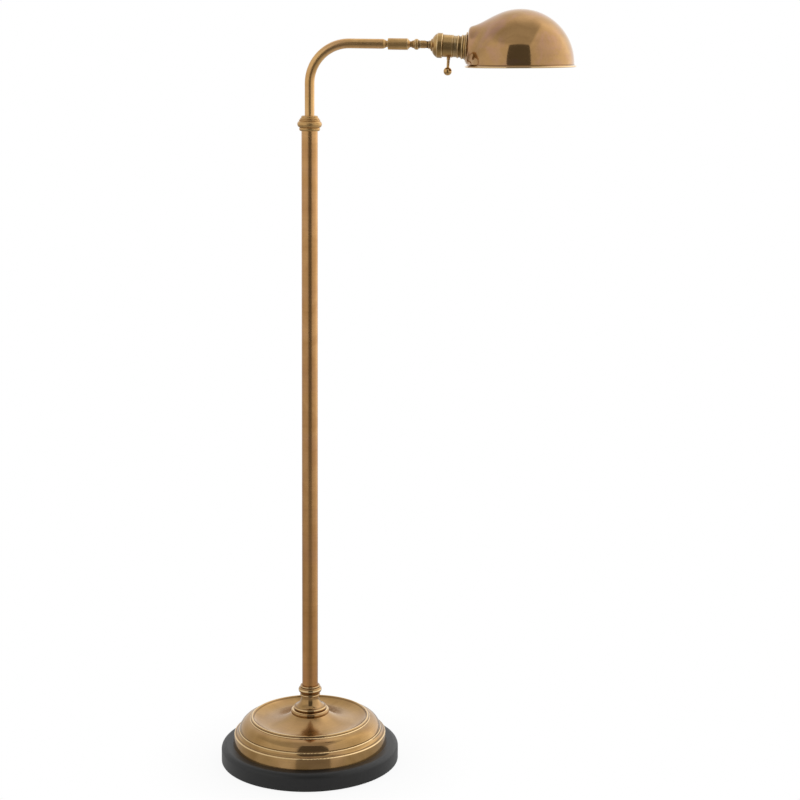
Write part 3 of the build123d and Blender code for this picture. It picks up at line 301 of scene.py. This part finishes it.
jointOf = {row["name"]: row for row in frame["joints"]}
armAt = Vector(jointOf["sleeve_roll"]["pos_m"])
pivotAt = Vector(jointOf["head_tilt"]["pos_m"])
switchAxis = Vector(jointOf["switch_turn"]["axis"])
headDrop = math.atan2(-switchAxis.x, -switchAxis.z)  # the switch hangs square to the head


def axisThrough(place, turn):  # location and rotation for a Mapping node
    return tuple(-(Matrix.Rotation(turn, 3, "Y") @ place)), (0, turn, 0)


axes = {
    "pole": axisThrough(Vector((0, 0, 0)), 0.0),
    "arm": axisThrough(Vector((0, 0, armAt.z)), -math.pi / 2),
    "head": axisThrough(pivotAt, -math.pi / 2 - headDrop),
    "shade": axisThrough(domeCentre, shadeRim["tilt"]),
}


# Brass finishes: each ring mark of painted highlight (edges) or painted shade (grooves) is its radius, its place
# along the axis and its width

baseBrass = {
    "slot": "brass_base", "axis": "pole",
    "bright": (0.46, 0.282, 0.115), "brown": (0.26, 0.14, 0.042), "rose": (0.41, 0.238, 0.135),
    "cloudScale": 20.0, "tarnish": 0.55, "roseAmount": 0.35, "polish": 0.07, "dullness": 0.07,
    "density": 700.0, "lineTone": 0.06, "bump": 0.01,
    "dish": (0.03, 0.046, 0.084, 0.091), "dishDullness": 0.1,  # radii: starts, full, fades, ends
    "edges": [
        (0.1226, 0.0472, 0.0014), (0.1155, 0.0542, 0.0014),  # band and step
        (0.0977, 0.0714, 0.0012), (0.0942, 0.0745, 0.0013),  # rim of the dish
        (0.0311, 0.0818, 0.0024), (0.0284, 0.0864, 0.0015),  # foot ring
        (0.0262, 0.0899, 0.0014), (0.0163, 0.1106, 0.0011),  # pole foot
        (0.0187, 0.1198, 0.0016), (0.0158, 0.1252, 0.0010),  # foot bead
    ],
    "grooves": [
        (0.1200, 0.0482, 0.0016), (0.1143, 0.0553, 0.0012),  # band and step
        (0.0960, 0.0721, 0.0009), (0.0915, 0.0726, 0.0012),  # rim of the dish
        (0.0288, 0.0799, 0.0014), (0.0254, 0.0870, 0.0012),  # under and over the foot ring
        (0.0240, 0.0920, 0.0010), (0.0152, 0.1130, 0.0012),  # pole foot
        (0.0154, 0.1236, 0.0010), (0.0134, 0.1268, 0.0010),  # foot bead
    ],
}
tubeBrass = {
    "slot": "brass_tube", "axis": "pole",
    "bright": (0.75, 0.46, 0.19), "brown": (0.53, 0.282, 0.09), "rose": (0.69, 0.40, 0.22),
    "cloudScale": 24.0, "tarnish": 0.55, "roseAmount": 0.4, "polish": 0.22, "dullness": 0.1,
    "density": 300.0, "lineTone": 0.04, "bump": 0.004,
    "paintedLowShade": [(0.1, (0.73, 0.606, 0.513, 1)), (0.4, (0.767, 0.685, 0.655, 1)),  # painted shade: the pole darkens downwards
               (0.85, (0.805, 0.735, 0.715, 1)), (0.88, (1, 1, 1, 1))],
    "paintedLowShadeTop": 1.2, "paintedLowShadeRadius": (0.0095, 0.0115),  # between the arm tube's radius and the pole's
}
turnedBrass = {
    "slot": "brass_turned", "axis": "arm",
    "bright": (0.64, 0.395, 0.16), "brown": (0.42, 0.23, 0.07), "rose": (0.54, 0.31, 0.17),
    "cloudScale": 55.0, "tarnish": 0.5, "roseAmount": 0.25, "polish": 0.32, "dullness": 0.12,
    "density": 1100.0, "lineTone": 0.06, "bump": 0.015,
    "rubbed": "switch_knob", "rubbedShine": 0.24, "rubbedCore": 0.8,  # bright from fingers
    "edges": [
        (0.0087, 0.1213, 0.0009), (0.0087, 0.1512, 0.0010),  # swivel sleeve
        (0.0079, 0.1632, 0.0010), (0.0079, 0.1674, 0.0009),  # bead of the neck
        (0.0065, 0.1694, 0.0010), (0.0065, 0.1713, 0.0009),  # fork
        (0.0064, 0.1842, 0.0010), (0.0068, 0.1860, 0.0010),  # stem of the tongue
    ],
    "grooves": [
        (0.0070, 0.1208, 0.0010),  # before the sleeve
        (0.0047, 0.1563, 0.0013), (0.0057, 0.1597, 0.0010),  # neck
        (0.0066, 0.1685, 0.0011), (0.0057, 0.1705, 0.0012),  # fork
        (0.0048, 0.1829, 0.0016), (0.0054, 0.1851, 0.0013),  # stem of the tongue
    ],
}
socketBrass = {
    "slot": "brass_socket", "axis": "head",
    "bright": (0.57, 0.36, 0.14), "brown": (0.34, 0.195, 0.06), "rose": (0.46, 0.28, 0.16),
    "cloudScale": 50.0, "tarnish": 0.55, "roseAmount": 0.3, "polish": 0.22, "dullness": 0.12,
    "density": 1000.0, "lineTone": 0.06, "bump": 0.015,
    "edges": [
        (0.0186, 0.0210, 0.0010), (0.0186, 0.0287, 0.0011),  # bead of the cap
        (0.0175, 0.0444, 0.0009),  # end of the shell
        (0.0166, 0.0476, 0.0007), (0.0166, 0.0496, 0.0007),  # threads of the shade tube
        (0.0177, 0.0526, 0.0009),  # lock ring
        (0.0186, 0.0592, 0.0010), (0.0231, 0.0657, 0.0011),  # shade holder
    ],
    "grooves": [
        (0.0172, 0.0298, 0.0010),  # shell beside the cap
        (0.0161, 0.0466, 0.0008), (0.0161, 0.0486, 0.0008), (0.0161, 0.0507, 0.0009),  # threads
        (0.0164, 0.0545, 0.0010), (0.0162, 0.0558, 0.0010), (0.0164, 0.0573, 0.0009),  # past the lock ring
        (0.0180, 0.0609, 0.0010), (0.0205, 0.0642, 0.0022),  # shade holder
    ],
}
shadeBrass = {
    "slot": "brass_shade", "axis": "shade",
    "bright": (0.48, 0.282, 0.118), "brown": (0.36, 0.203, 0.08), "rose": (0.46, 0.255, 0.175),
    "cloudScale": 32.0, "tarnish": 0.6, "roseAmount": 0.8, "polish": 0.055, "dullness": 0.07,
    "density": 200.0, "lineTone": 0.02, "bump": 0.006,
    "edges": [(domeRadius + 0.0032, -0.0045, 0.0026)],  # painted highlight on the rolled lip
    "grooves": [(domeRadius + 0.0004, -0.0018, 0.0010)],  # painted shade where the flare leaves the dome
}
plainBrass = {
    "slot": "brass_plain", "axis": "pole",
    "bright": (0.62, 0.44, 0.17), "brown": (0.45, 0.29, 0.09), "rose": (0.55, 0.36, 0.17),
    "cloudScale": 80.0, "tarnish": 0.4, "roseAmount": 0.2, "polish": 0.12, "dullness": 0.12,
    "density": 1500.0, "lineTone": 0.06, "bump": 0.02,
}
paintedHighlightAndShade = {"edges": ((0.86, 0.63, 0.34, 1), 0.75), "grooves": ((0.10, 0.05, 0.014, 1), 0.6)}  # painted highlight on bead edges and painted shade in grooves: tint and strength
relief = {"depth": 0.0004, "grainShare": 0.35}


def ringMasks(tree, profile, rings, at):
    mask = None
    for index, (radius, height, width) in enumerate(rings):
        place = (at[0], at[1] - 180 * index)
        mark = placeGroup(tree, ringMark, profile, {"Place": (radius, height, 0), "Width": width}, place)
        found = mark.outputs["Mask"]
        mask = found if mask is None else mathNode(tree, "MAXIMUM", mask, found, (place[0] + 180, place[1]))
    return mask


# Painted shade that darkens the pole towards the floor, only on pieces as wide as the pole
def addPaintedLowShade(tree, look, coords, radius, color):
    rise = addNode(tree, "SeparateXYZ", (-1250, -900))
    tree.links.new(coords, rise.inputs[0])
    tall = mathNode(tree, "DIVIDE", rise.outputs["Z"], look["paintedLowShadeTop"], (-1050, -900), True)
    tint = ramp(tree, tall, look["paintedLowShade"], (-850, -900))
    onPole = smoothStep(tree, radius, *look["paintedLowShadeRadius"], (-620, -1000))
    return mixColor(tree, onPole, color, tint, (-240, 200), "MULTIPLY")


# Rings of painted highlight on bead edges and painted shade in grooves, laid over the colour
def addPaintedHighlightAndShade(tree, look, profile, color):
    for column, (kind, (tint, amount)) in enumerate(paintedHighlightAndShade.items()):
        if kind in look:
            mask = ringMasks(tree, profile, look[kind], (-1250 + 400 * column, 1600))
            mask = mathNode(tree, "MULTIPLY", mask, amount, (-300, 500 + 200 * column))
            color = mixColor(tree, mask, color, tint, (-140, 300 + 200 * column))
    return color


def dullDish(tree, look, radius, roughness):
    start, full, fade, stop = look["dish"]
    inner = smoothStep(tree, radius, start, full, (-620, -560))
    outer = smoothStep(tree, radius, stop, fade, (-620, -760))
    ring = mathNode(tree, "MULTIPLY", inner, outer, (-460, -600))
    ring = mathNode(tree, "MULTIPLY", ring, look["dishDullness"], (-300, -600))
    return mathNode(tree, "ADD", roughness, ring, (-160, -500))


def rubBright(tree, look, coords, roughness):
    low, high = (Vector(corner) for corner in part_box(look["rubbed"]))
    reach = (high - low).length / 2
    apart = addNode(tree, "VectorMath", (-620, -900), operation="DISTANCE")
    apart.inputs[1].default_value = (low + high) / 2
    tree.links.new(coords, apart.inputs[0])
    near = smoothStep(tree, apart.outputs["Value"], reach, reach * look["rubbedCore"], (-460, -900))
    near = mathNode(tree, "MULTIPLY", near, look["rubbedShine"], (-300, -900))
    return mathNode(tree, "SUBTRACT", roughness, near, (-160, -700), True)


def brassFinish(look):
    material, tree, shader, coords = newMaterial(look["slot"])
    place, turn = axes[look["axis"]]
    aligned = addNode(tree, "Mapping", (-1250, -200), {"Location": place, "Rotation": turn})
    tree.links.new(coords, aligned.inputs["Vector"])
    aged = placeGroup(tree, agedBrass, coords, {
        "Bright": (*look["bright"], 1), "Brown": (*look["brown"], 1), "Rose": (*look["rose"], 1),
        "Cloud Scale": look["cloudScale"], "Tarnish": look["tarnish"], "Rose Amount": look["roseAmount"],
        "Polish": look["polish"], "Dullness": look["dullness"]}, (-900, 200))
    turned = placeGroup(tree, turnedLines, aligned.outputs[0], {"Density": look["density"]}, (-900, -200))
    lineStops = [(0.0, 1.0 - look["lineTone"]), (1.0, 1.0 + look["lineTone"] * lineLook["lift"])]
    lineShade = ramp(tree, turned.outputs["Lines"], lineStops, (-620, -120))
    color = mixColor(tree, 1.0, aged.outputs["Color"], lineShade, (-340, 200), "MULTIPLY")
    # painted shade, darker towards the bottom of the pole
    if "paintedLowShade" in look:
        color = addPaintedLowShade(tree, look, coords, turned.outputs["Radius"], color)
    # painted highlight and painted shade rings
    color = addPaintedHighlightAndShade(tree, look, turned.outputs["Profile"], color)
    tree.links.new(color, shader.inputs["Base Color"])
    roughness = aged.outputs["Roughness"]
    if "dish" in look:
        roughness = dullDish(tree, look, turned.outputs["Radius"], roughness)
    if "rubbed" in look:
        roughness = rubBright(tree, look, coords, roughness)
    tree.links.new(roughness, shader.inputs["Roughness"])
    height = mathNode(tree, "MULTIPLY", aged.outputs["Height"], relief["grainShare"], (-620, -340))
    height = mathNode(tree, "ADD", height, turned.outputs["Height"], (-460, -340))
    bump = addNode(tree, "Bump", (-280, -300), {"Strength": look["bump"], "Distance": relief["depth"]})
    tree.links.new(height, bump.inputs["Height"])
    join(tree, bump, "Normal", shader, "Normal")
    shader.inputs["Metallic"].default_value = 1.0
    return material


# Finishes of the pieces that aren't old brass

plinthBlack = {
    "slot": "plinth_black", "scale": 900.0, "dark": (0.008, 0.0077, 0.0074), "light": (0.0135, 0.013, 0.0125),
    "smooth": 0.36, "spread": 0.16, "bump": 0.02, "metal": 0.0, "sheen": 0.46,
}
feltGreen = {
    "slot": "felt_green", "scale": 1600.0, "dark": (0.015, 0.028, 0.02), "light": (0.05, 0.075, 0.058),
    "smooth": 0.85, "spread": 0.15, "bump": 0.6, "metal": 0.0,
}
rubberBlack = {
    "slot": "rubber_black", "scale": 1200.0, "dark": (0.012, 0.012, 0.012), "light": (0.03, 0.03, 0.03),
    "smooth": 0.55, "spread": 0.2, "bump": 0.15, "metal": 0.0,
}
castIron = {
    "slot": "iron_cast", "scale": 500.0, "dark": (0.05, 0.05, 0.05), "light": (0.13, 0.125, 0.12),
    "smooth": 0.5, "spread": 0.3, "bump": 0.5, "metal": 0.7,
}
zincSteel = {
    "slot": "steel_zinc", "scale": 700.0, "dark": (0.42, 0.42, 0.43), "light": (0.62, 0.62, 0.63),
    "smooth": 0.22, "spread": 0.2, "bump": 0.08, "metal": 1.0,
}
nylonNatural = {
    "slot": "nylon_natural", "scale": 800.0, "dark": (0.66, 0.64, 0.56), "light": (0.78, 0.76, 0.69),
    "smooth": 0.42, "spread": 0.15, "bump": 0.06, "metal": 0.0,
}
linerCard = {
    "slot": "liner_card", "scale": 1500.0, "dark": (0.2, 0.14, 0.08), "light": (0.36, 0.27, 0.17),
    "smooth": 0.75, "spread": 0.2, "bump": 0.4, "metal": 0.0,
}
porcelainGlaze = {
    "slot": "porcelain", "scale": 300.0, "dark": (0.76, 0.74, 0.69), "light": (0.85, 0.83, 0.79),
    "smooth": 0.1, "spread": 0.08, "bump": 0.03, "metal": 0.0,
}
bulbCapMetal = {
    "slot": "bulb_cap_metal", "scale": 800.0, "dark": (0.55, 0.55, 0.56), "light": (0.72, 0.72, 0.73),
    "smooth": 0.2, "spread": 0.18, "bump": 0.06, "metal": 1.0,
}
bulbFrosted = {
    "slot": "bulb_frosted", "scale": 2500.0, "dark": (0.88, 0.87, 0.84), "light": (0.95, 0.94, 0.92),
    "smooth": 0.38, "spread": 0.15, "bump": 0.05, "metal": 0.0, "clear": 0.45,
}
plainSheen = 0.5  # where a finish names no sheen of its own


def grainFinish(look):
    material, tree, shader, coords = newMaterial(look["slot"])
    grain = placeGroup(tree, fineGrain, coords, {
        "Scale": look["scale"], "Dark": (*look["dark"], 1), "Light": (*look["light"], 1),
        "Smooth": look["smooth"], "Spread": look["spread"]}, (-700, 100))
    join(tree, grain, "Color", shader, "Base Color")
    join(tree, grain, "Roughness", shader, "Roughness")
    bump = addNode(tree, "Bump", (-320, -250), {"Strength": look["bump"], "Distance": relief["depth"]})
    join(tree, grain, "Height", bump, "Height")
    join(tree, bump, "Normal", shader, "Normal")
    shader.inputs["Metallic"].default_value = look["metal"]
    shader.inputs["Specular IOR Level"].default_value = look.get("sheen", plainSheen)
    shader.inputs["Transmission Weight"].default_value = look.get("clear", 0.0)
    return material


finishes = {}
for look in (baseBrass, tubeBrass, turnedBrass, socketBrass, shadeBrass, plainBrass):
    finishes[look["slot"]] = brassFinish(look)
for look in (plinthBlack, feltGreen, rubberBlack, castIron, zincSteel, nylonNatural, linerCard,
             porcelainGlaze, bulbCapMetal, bulbFrosted):
    finishes[look["slot"]] = grainFinish(look)
for name, node in nodes.items():
    node.data.materials.clear()
    node.data.materials.append(finishes[slotOf[name]])
print("finishes on", len(nodes), "CAD nodes")


# Shade, one smooth sheet from the neck to the rolled rim

shadeForm = {
    "sheet": 0.0012, "gasket": 0.0012,
    "coneStart": 0.031, "coneSlope": 0.36, "coneWidest": 0.046, "lowSqueeze": 1.28,
    "blend": 0.0095, "corner": 0.005,  # how far dome and neck, and neck and end, run together
    "around": 160, "along": 150, "holeAngle": math.radians(11.9), "lowest": -0.5, "reachSteps": 24,
    "cutNear": 1e-6, "rimNear": 1e-5, "sharpFrom": math.radians(38),
}
domeUp = Vector((-math.sin(shadeRim["tilt"]), 0, math.cos(shadeRim["tilt"])))
headAlong = Vector((math.cos(headDrop), 0, -math.sin(headDrop)))
headUp = Vector((math.sin(headDrop), 0, math.cos(headDrop)))
gasketLow, gasketHigh = (Vector(corner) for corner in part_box("shade_gasket"))
neckEnd = (gasketLow + gasketHigh) / 2 + headAlong * shadeForm["gasket"] / 2


def smoothMin(first, second, size):
    near = max(size - abs(first - second), 0.0) / size
    return min(first, second) - near * near * size / 4


def outsideShade(place):  # negative inside the dome or the neck
    fromNeck = place - neckEnd
    along = fromNeck.dot(headAlong)
    across = fromNeck - headAlong * along
    rise = across.dot(headUp)
    rise *= shadeForm["lowSqueeze"] if rise < 0 else 1.0
    slope = shadeForm["coneSlope"]
    widest = shadeForm["coneWidest"]
    coneRadius = smoothMin(shadeForm["coneStart"] + slope * along, widest, shadeForm["corner"])
    cone = (math.hypot(across.y, rise) - coneRadius) / math.sqrt(1 + slope * slope)
    neck = max(-smoothMin(-cone, along, shadeForm["corner"]), along - domeRadius)
    return smoothMin((place - domeCentre).length - domeRadius, neck, shadeForm["blend"])


def drawSheet(bm):
    towardsNeck = Vector((0, 0, 1)).rotation_difference(-headAlong).to_matrix().to_4x4()
    bmesh.ops.create_uvsphere(bm, u_segments=shadeForm["around"], v_segments=shadeForm["along"], radius=1.0,
                              matrix=towardsNeck)
    unwanted = [v for v in bm.verts
                if v.co.angle(-headAlong) < shadeForm["holeAngle"] or v.co.z < shadeForm["lowest"]]
    bmesh.ops.delete(bm, geom=unwanted, context="VERTS")
    middle = neckEnd + headAlong * (domeCentre - neckEnd).dot(headAlong)
    for v in bm.verts:
        direction = v.co.normalized()
        reach = domeRadius / 2
        for step in range(shadeForm["reachSteps"]):
            reach -= outsideShade(middle + direction * reach)
        v.co = middle + direction * reach
    bmesh.ops.bisect_plane(bm, geom=bm.verts[:] + bm.edges[:] + bm.faces[:], dist=shadeForm["cutNear"],
                           plane_co=domeCentre, plane_no=domeUp, clear_inner=True)
    bmesh.ops.recalc_face_normals(bm, faces=bm.faces)


def onlyKind(items, kind):
    return [item for item in items if isinstance(item, kind)]


def onRim(edge):
    return all(abs((v.co - domeCentre).dot(domeUp)) < shadeForm["rimNear"] for v in edge.verts)


def openLoops(edges):
    free = [edge for edge in edges if edge.is_boundary]
    return [edge for edge in free if onRim(edge)], [edge for edge in free if not onRim(edge)]


def shadeRimCurve():
    steps = shadeRim["curveSteps"]
    flareRadius = domeRadius + shadeRim["flareWidth"]
    flareHeight = shadeRim["wallFoot"] - shadeRim["flareFoot"]
    curve = []
    for step in range(steps + 1):
        turn = math.pi / 2 * step / steps
        curve.append((domeRadius + shadeRim["flareWidth"] * (1 - math.cos(turn)),
                      shadeRim["flareFoot"] + flareHeight * (1 - math.sin(turn))))
    for step in range(1, 2 * steps + 1):
        turn = math.pi * step / (2 * steps)
        curve.append((flareRadius + shadeRim["lipWidth"] * math.sin(turn),
                      shadeRim["lipRadius"] * (1 + math.cos(turn))))
    innerRadius = domeRadius - shadeForm["sheet"]
    curve.append((innerRadius + shadeRim["innerEdge"] / 2, shadeRim["innerEdge"] / 2))
    curve.append((innerRadius, shadeRim["innerEdge"]))
    return curve


def rollRim(bm, rim):
    for radius, height in shadeRimCurve():
        grown = bmesh.ops.extrude_edge_only(bm, edges=rim)["geom"]
        rim = onlyKind(grown, bmesh.types.BMEdge)
        for v in onlyKind(grown, bmesh.types.BMVert):
            fromCentre = v.co - domeCentre
            outward = (fromCentre - domeUp * fromCentre.dot(domeUp)).normalized()
            v.co = domeCentre + outward * radius + domeUp * (height - shadeRim["wall"])
    return rim


def makeShade():
    bm = bmesh.new()
    drawSheet(bm)
    outerRim, outerHole = openLoops(bm.edges)
    copied = bmesh.ops.duplicate(bm, geom=bm.verts[:] + bm.edges[:] + bm.faces[:])["geom"]
    innerRim, innerHole = openLoops(onlyKind(copied, bmesh.types.BMEdge))
    innerVerts = onlyKind(copied, bmesh.types.BMVert)
    inward = [v.normal * shadeForm["sheet"] for v in innerVerts]
    for v, step in zip(innerVerts, inward):
        v.co -= step
    for v in {v for edge in innerRim for v in edge.verts}:
        v.co -= domeUp * (v.co - domeCentre).dot(domeUp)
    bmesh.ops.bridge_loops(bm, edges=rollRim(bm, outerRim) + innerRim)
    bmesh.ops.bridge_loops(bm, edges=outerHole + innerHole)
    bmesh.ops.recalc_face_normals(bm, faces=bm.faces)
    for face in bm.faces:
        face.smooth = True
    mesh = bpy.data.meshes.new("brassShade")
    bm.to_mesh(mesh)
    bm.free()
    mesh.set_sharp_from_angle(angle=shadeForm["sharpFrom"])
    mesh.materials.append(finishes["brass_shade"])
    piece = bpy.data.objects.new("brassShade", mesh)
    scene.collection.objects.link(piece)
    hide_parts("shade")
    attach(piece, "head")
    return len(mesh.polygons)


print("shade built:", makeShade(), "faces")


# Studio: a white floor, light from all round and a dark opening towards the camera

def backgroundRays(tree, at):
    light = addNode(tree, "LightPath", at)
    seen = mathNode(tree, "MAXIMUM", light.outputs["Is Camera Ray"], light.outputs["Is Transmission Ray"],
                    (at[0] + 200, at[1]))
    return seen, light.outputs["Is Glossy Ray"]


def mixShaders(tree, factor, first, second, at, output):
    mixed = addNode(tree, "MixShader", at)
    tree.links.new(factor, mixed.inputs[0])
    join(tree, first, 0, mixed, 1)
    join(tree, second, 0, mixed, 2)
    tree.links.new(mixed.outputs[0], tree.nodes[output].inputs["Surface"])


def placeProp(bm, name, material):
    mesh = bpy.data.meshes.new(name)
    bm.to_mesh(mesh)
    bm.free()
    mesh.materials.append(material)
    prop = bpy.data.objects.new(name, mesh)
    scene.collection.objects.link(prop)
    return prop


floorForm = {
    "side": 0.55, "front": -0.3, "back": 1.6, "drop": 0.0002,
    "color": (0.9, 0.9, 0.895, 1), "roughness": 0.9, "sheen": 0.1,
    "white": 0.92, "whiteFade": (0.16, 0.29),  # near the lamp the floor keeps some of its shadow
    "mirrored": 0.62,  # its level in the brass
}


def makeFloor():
    bm = bmesh.new()
    bmesh.ops.create_grid(bm, x_segments=8, y_segments=8, size=1.0)
    depth = (floorForm["back"] - floorForm["front"]) / 2
    bmesh.ops.scale(bm, verts=bm.verts, vec=(floorForm["side"], depth, 1))
    bmesh.ops.translate(bm, verts=bm.verts, vec=(0, floorForm["front"] + depth, -floorForm["drop"]))
    material, tree, shader, coords = newMaterial("paleFloor")
    shader.inputs["Base Color"].default_value = floorForm["color"]
    shader.inputs["Roughness"].default_value = floorForm["roughness"]
    shader.inputs["Specular IOR Level"].default_value = floorForm["sheen"]
    seen, glossy = backgroundRays(tree, (-900, -400))
    level = ramp(tree, seen, [(0.0, floorForm["mirrored"]), (1.0, 1.0)], (-300, -700))
    white = addNode(tree, "Emission", (100, -300))
    tree.links.new(level, white.inputs["Color"])
    away = addNode(tree, "VectorMath", (-900, -100), operation="LENGTH")
    tree.links.new(coords, away.inputs[0])
    outward = smoothStep(tree, away.outputs["Value"], *floorForm["whiteFade"], (-700, -100))
    outward = ramp(tree, outward, [(0.0, floorForm["white"]), (1.0, 1.0)], (-500, -100))
    seen = mathNode(tree, "MAXIMUM", seen, glossy, (-500, -400))
    share = mathNode(tree, "MULTIPLY", seen, outward, (-300, -400))
    mixShaders(tree, share, shader, white, (350, 0), "Material Output")
    floor = placeProp(bm, "floor", material)


opening = {
    "left": -0.24, "right": 0.74, "away": -1.05, "bottom": -1.2, "top": 2.03,
    "groundLevel": 0.36, "roomLevel": 0.15, "fade": (-0.1, 0.4),
}


def makeOpening():
    width = opening["right"] - opening["left"]
    tall = opening["top"] - opening["bottom"]
    middle = (opening["left"] + width / 2, opening["away"], opening["bottom"] + tall / 2)
    bm = bmesh.new()
    bmesh.ops.create_grid(bm, x_segments=1, y_segments=8, size=0.5)
    bmesh.ops.rotate(bm, verts=bm.verts, matrix=Matrix.Rotation(math.pi / 2, 3, "X"))
    bmesh.ops.scale(bm, verts=bm.verts, vec=(width, 1, tall))
    bmesh.ops.translate(bm, verts=bm.verts, vec=middle)
    material, tree, shader, coords = newMaterial("dimRoom")
    tree.nodes.remove(shader)
    split = addNode(tree, "SeparateXYZ", (-900, 0))
    tree.links.new(coords, split.inputs[0])
    rise = smoothStep(tree, split.outputs["Z"], *opening["fade"], (-700, 0))
    level = ramp(tree, rise, [(0.0, opening["groundLevel"]), (1.0, opening["roomLevel"])], (-500, 0))
    glow = addNode(tree, "Emission", (-200, 0))
    tree.links.new(level, glow.inputs["Color"])
    clear = addNode(tree, "BsdfTransparent", (-200, -200))
    seen = backgroundRays(tree, (-700, -300))[0]
    mixShaders(tree, seen, glow, clear, (50, 0), "Material Output")
    card = placeProp(bm, "frontOpening", material)


roomLight = {
    "strength": 2.0,
    "towardsCamera": (0.0, -1.0, 0.0), "cameraRight": (1.0, 0.0, 0.0),
    "around": [  # degrees round from the camera's side, and level
        (-180, 1.1), (-160, 1.0), (-107, 0.78), (-74, 0.92), (-45, 0.88), (0, 0.8),
        (50, 0.93), (80, 1.08), (104, 1.3), (128, 1.65), (150, 1.3), (180, 1.1),
    ],
    "lowLevel": 0.48, "lowRise": (-22.0, -2.0), "ceiling": 1.1, "ceilingRise": (50.0, 72.0),
    "dimCeiling": 0.6, "dimRise": (34.0, 44.0), "dimAhead": (-0.5, 0.12), "dimLeft": (-2.6, -0.7),
    "dimRight": (0.58, 0.46), "leastRise": 0.05,
}


def alongDirection(tree, coords, direction, at):
    dot = addNode(tree, "VectorMath", at, operation="DOT_PRODUCT")
    dot.inputs[1].default_value = direction
    join(tree, coords, "Generated", dot, 0)
    return dot.outputs["Value"]


def makeRoomLight(tree):
    strength = roomLight["strength"]
    coords = addNode(tree, "TexCoord", (-1700, 0))
    ahead = alongDirection(tree, coords, roomLight["towardsCamera"], (-1500, 150))
    aside = alongDirection(tree, coords, roomLight["cameraRight"], (-1500, -50))
    up = alongDirection(tree, coords, (0.0, 0.0, 1.0), (-1500, -260))
    lift = mathNode(tree, "ARCSINE", up, None, (-1300, -260))

    def between(rise, at):
        low, high = rise
        return smoothStep(tree, lift, math.radians(low), math.radians(high), at)

    angle = mathNode(tree, "ARCTAN2", aside, ahead, (-1300, 80))
    part = mathNode(tree, "DIVIDE", angle, 2 * math.pi, (-1120, 80))
    part = mathNode(tree, "ADD", part, 0.5, (-960, 80))  # the camera's side is the ramp's middle
    stops = [((degrees + 180) / 360, level / strength) for degrees, level in roomLight["around"]]
    room = ramp(tree, part, stops, (-780, 120))
    low = between(roomLight["lowRise"], (-1100, -860))
    low = ramp(tree, low, [(0.0, roomLight["lowLevel"]), (1.0, 1.0)], (-900, -1060))
    room = mixColor(tree, 1.0, room, low, (-700, 200), "MULTIPLY")
    high = between(roomLight["ceilingRise"], (-1100, -260))
    room = mixColor(tree, high, room, grey(roomLight["ceiling"] / strength), (-600, 60))
    slope = mathNode(tree, "MAXIMUM", up, roomLight["leastRise"], (-1300, -460))
    slope = mathNode(tree, "DIVIDE", aside, slope, (-1120, -460))
    dim = between(roomLight["dimRise"], (-1100, -660))
    for index, (value, side) in enumerate(((ahead, "dimAhead"), (slope, "dimLeft"), (slope, "dimRight"))):
        edge = smoothStep(tree, value, *roomLight[side], (-900, -460 - 180 * index))
        dim = mathNode(tree, "MULTIPLY", dim, edge, (-700, -460 - 180 * index))
    return mixColor(tree, dim, room, grey(roomLight["dimCeiling"] / strength), (-420, 60))


def makeWorld():
    world = bpy.data.worlds.new("studio")
    scene.world = world
    world.use_nodes = True
    tree = world.node_tree
    soft = addNode(tree, "Background", (-240, 60), {"Strength": roomLight["strength"]})
    tree.links.new(makeRoomLight(tree), soft.inputs["Color"])
    white = addNode(tree, "Background", (-240, -140), {"Color": grey(1.0), "Strength": 1.0})
    seen = backgroundRays(tree, (-700, -360))[0]
    mixShaders(tree, seen, soft, white, (0, 0), "World Output")


makeFloor()
makeOpening()
makeWorld()
print("studio set")


# Camera at the photograph's angle

view = {
    "place": (0.35159, -2.89928, 1.17995), "lens": 83.9595, "sensor": 36.0, "shift": (-0.08221, -0.06377),
    "right": (0.999179, 0.038306, 0.013152), "up": (-0.019378, 0.167001, 0.985766),
    "back": (0.035565, -0.985212, 0.167606),
}
cameraData = bpy.data.cameras.new("photoCamera")
cameraData.lens = view["lens"]
cameraData.sensor_width = view["sensor"]
cameraData.shift_x, cameraData.shift_y = view["shift"]
camera = bpy.data.objects.new("photoCamera", cameraData)
cameraTurn = Matrix((view["right"], view["up"], view["back"])).transposed().to_4x4()
camera.matrix_world = Matrix.Translation(view["place"]) @ cameraTurn
scene.collection.objects.link(camera)
scene.camera = camera
print("camera set")
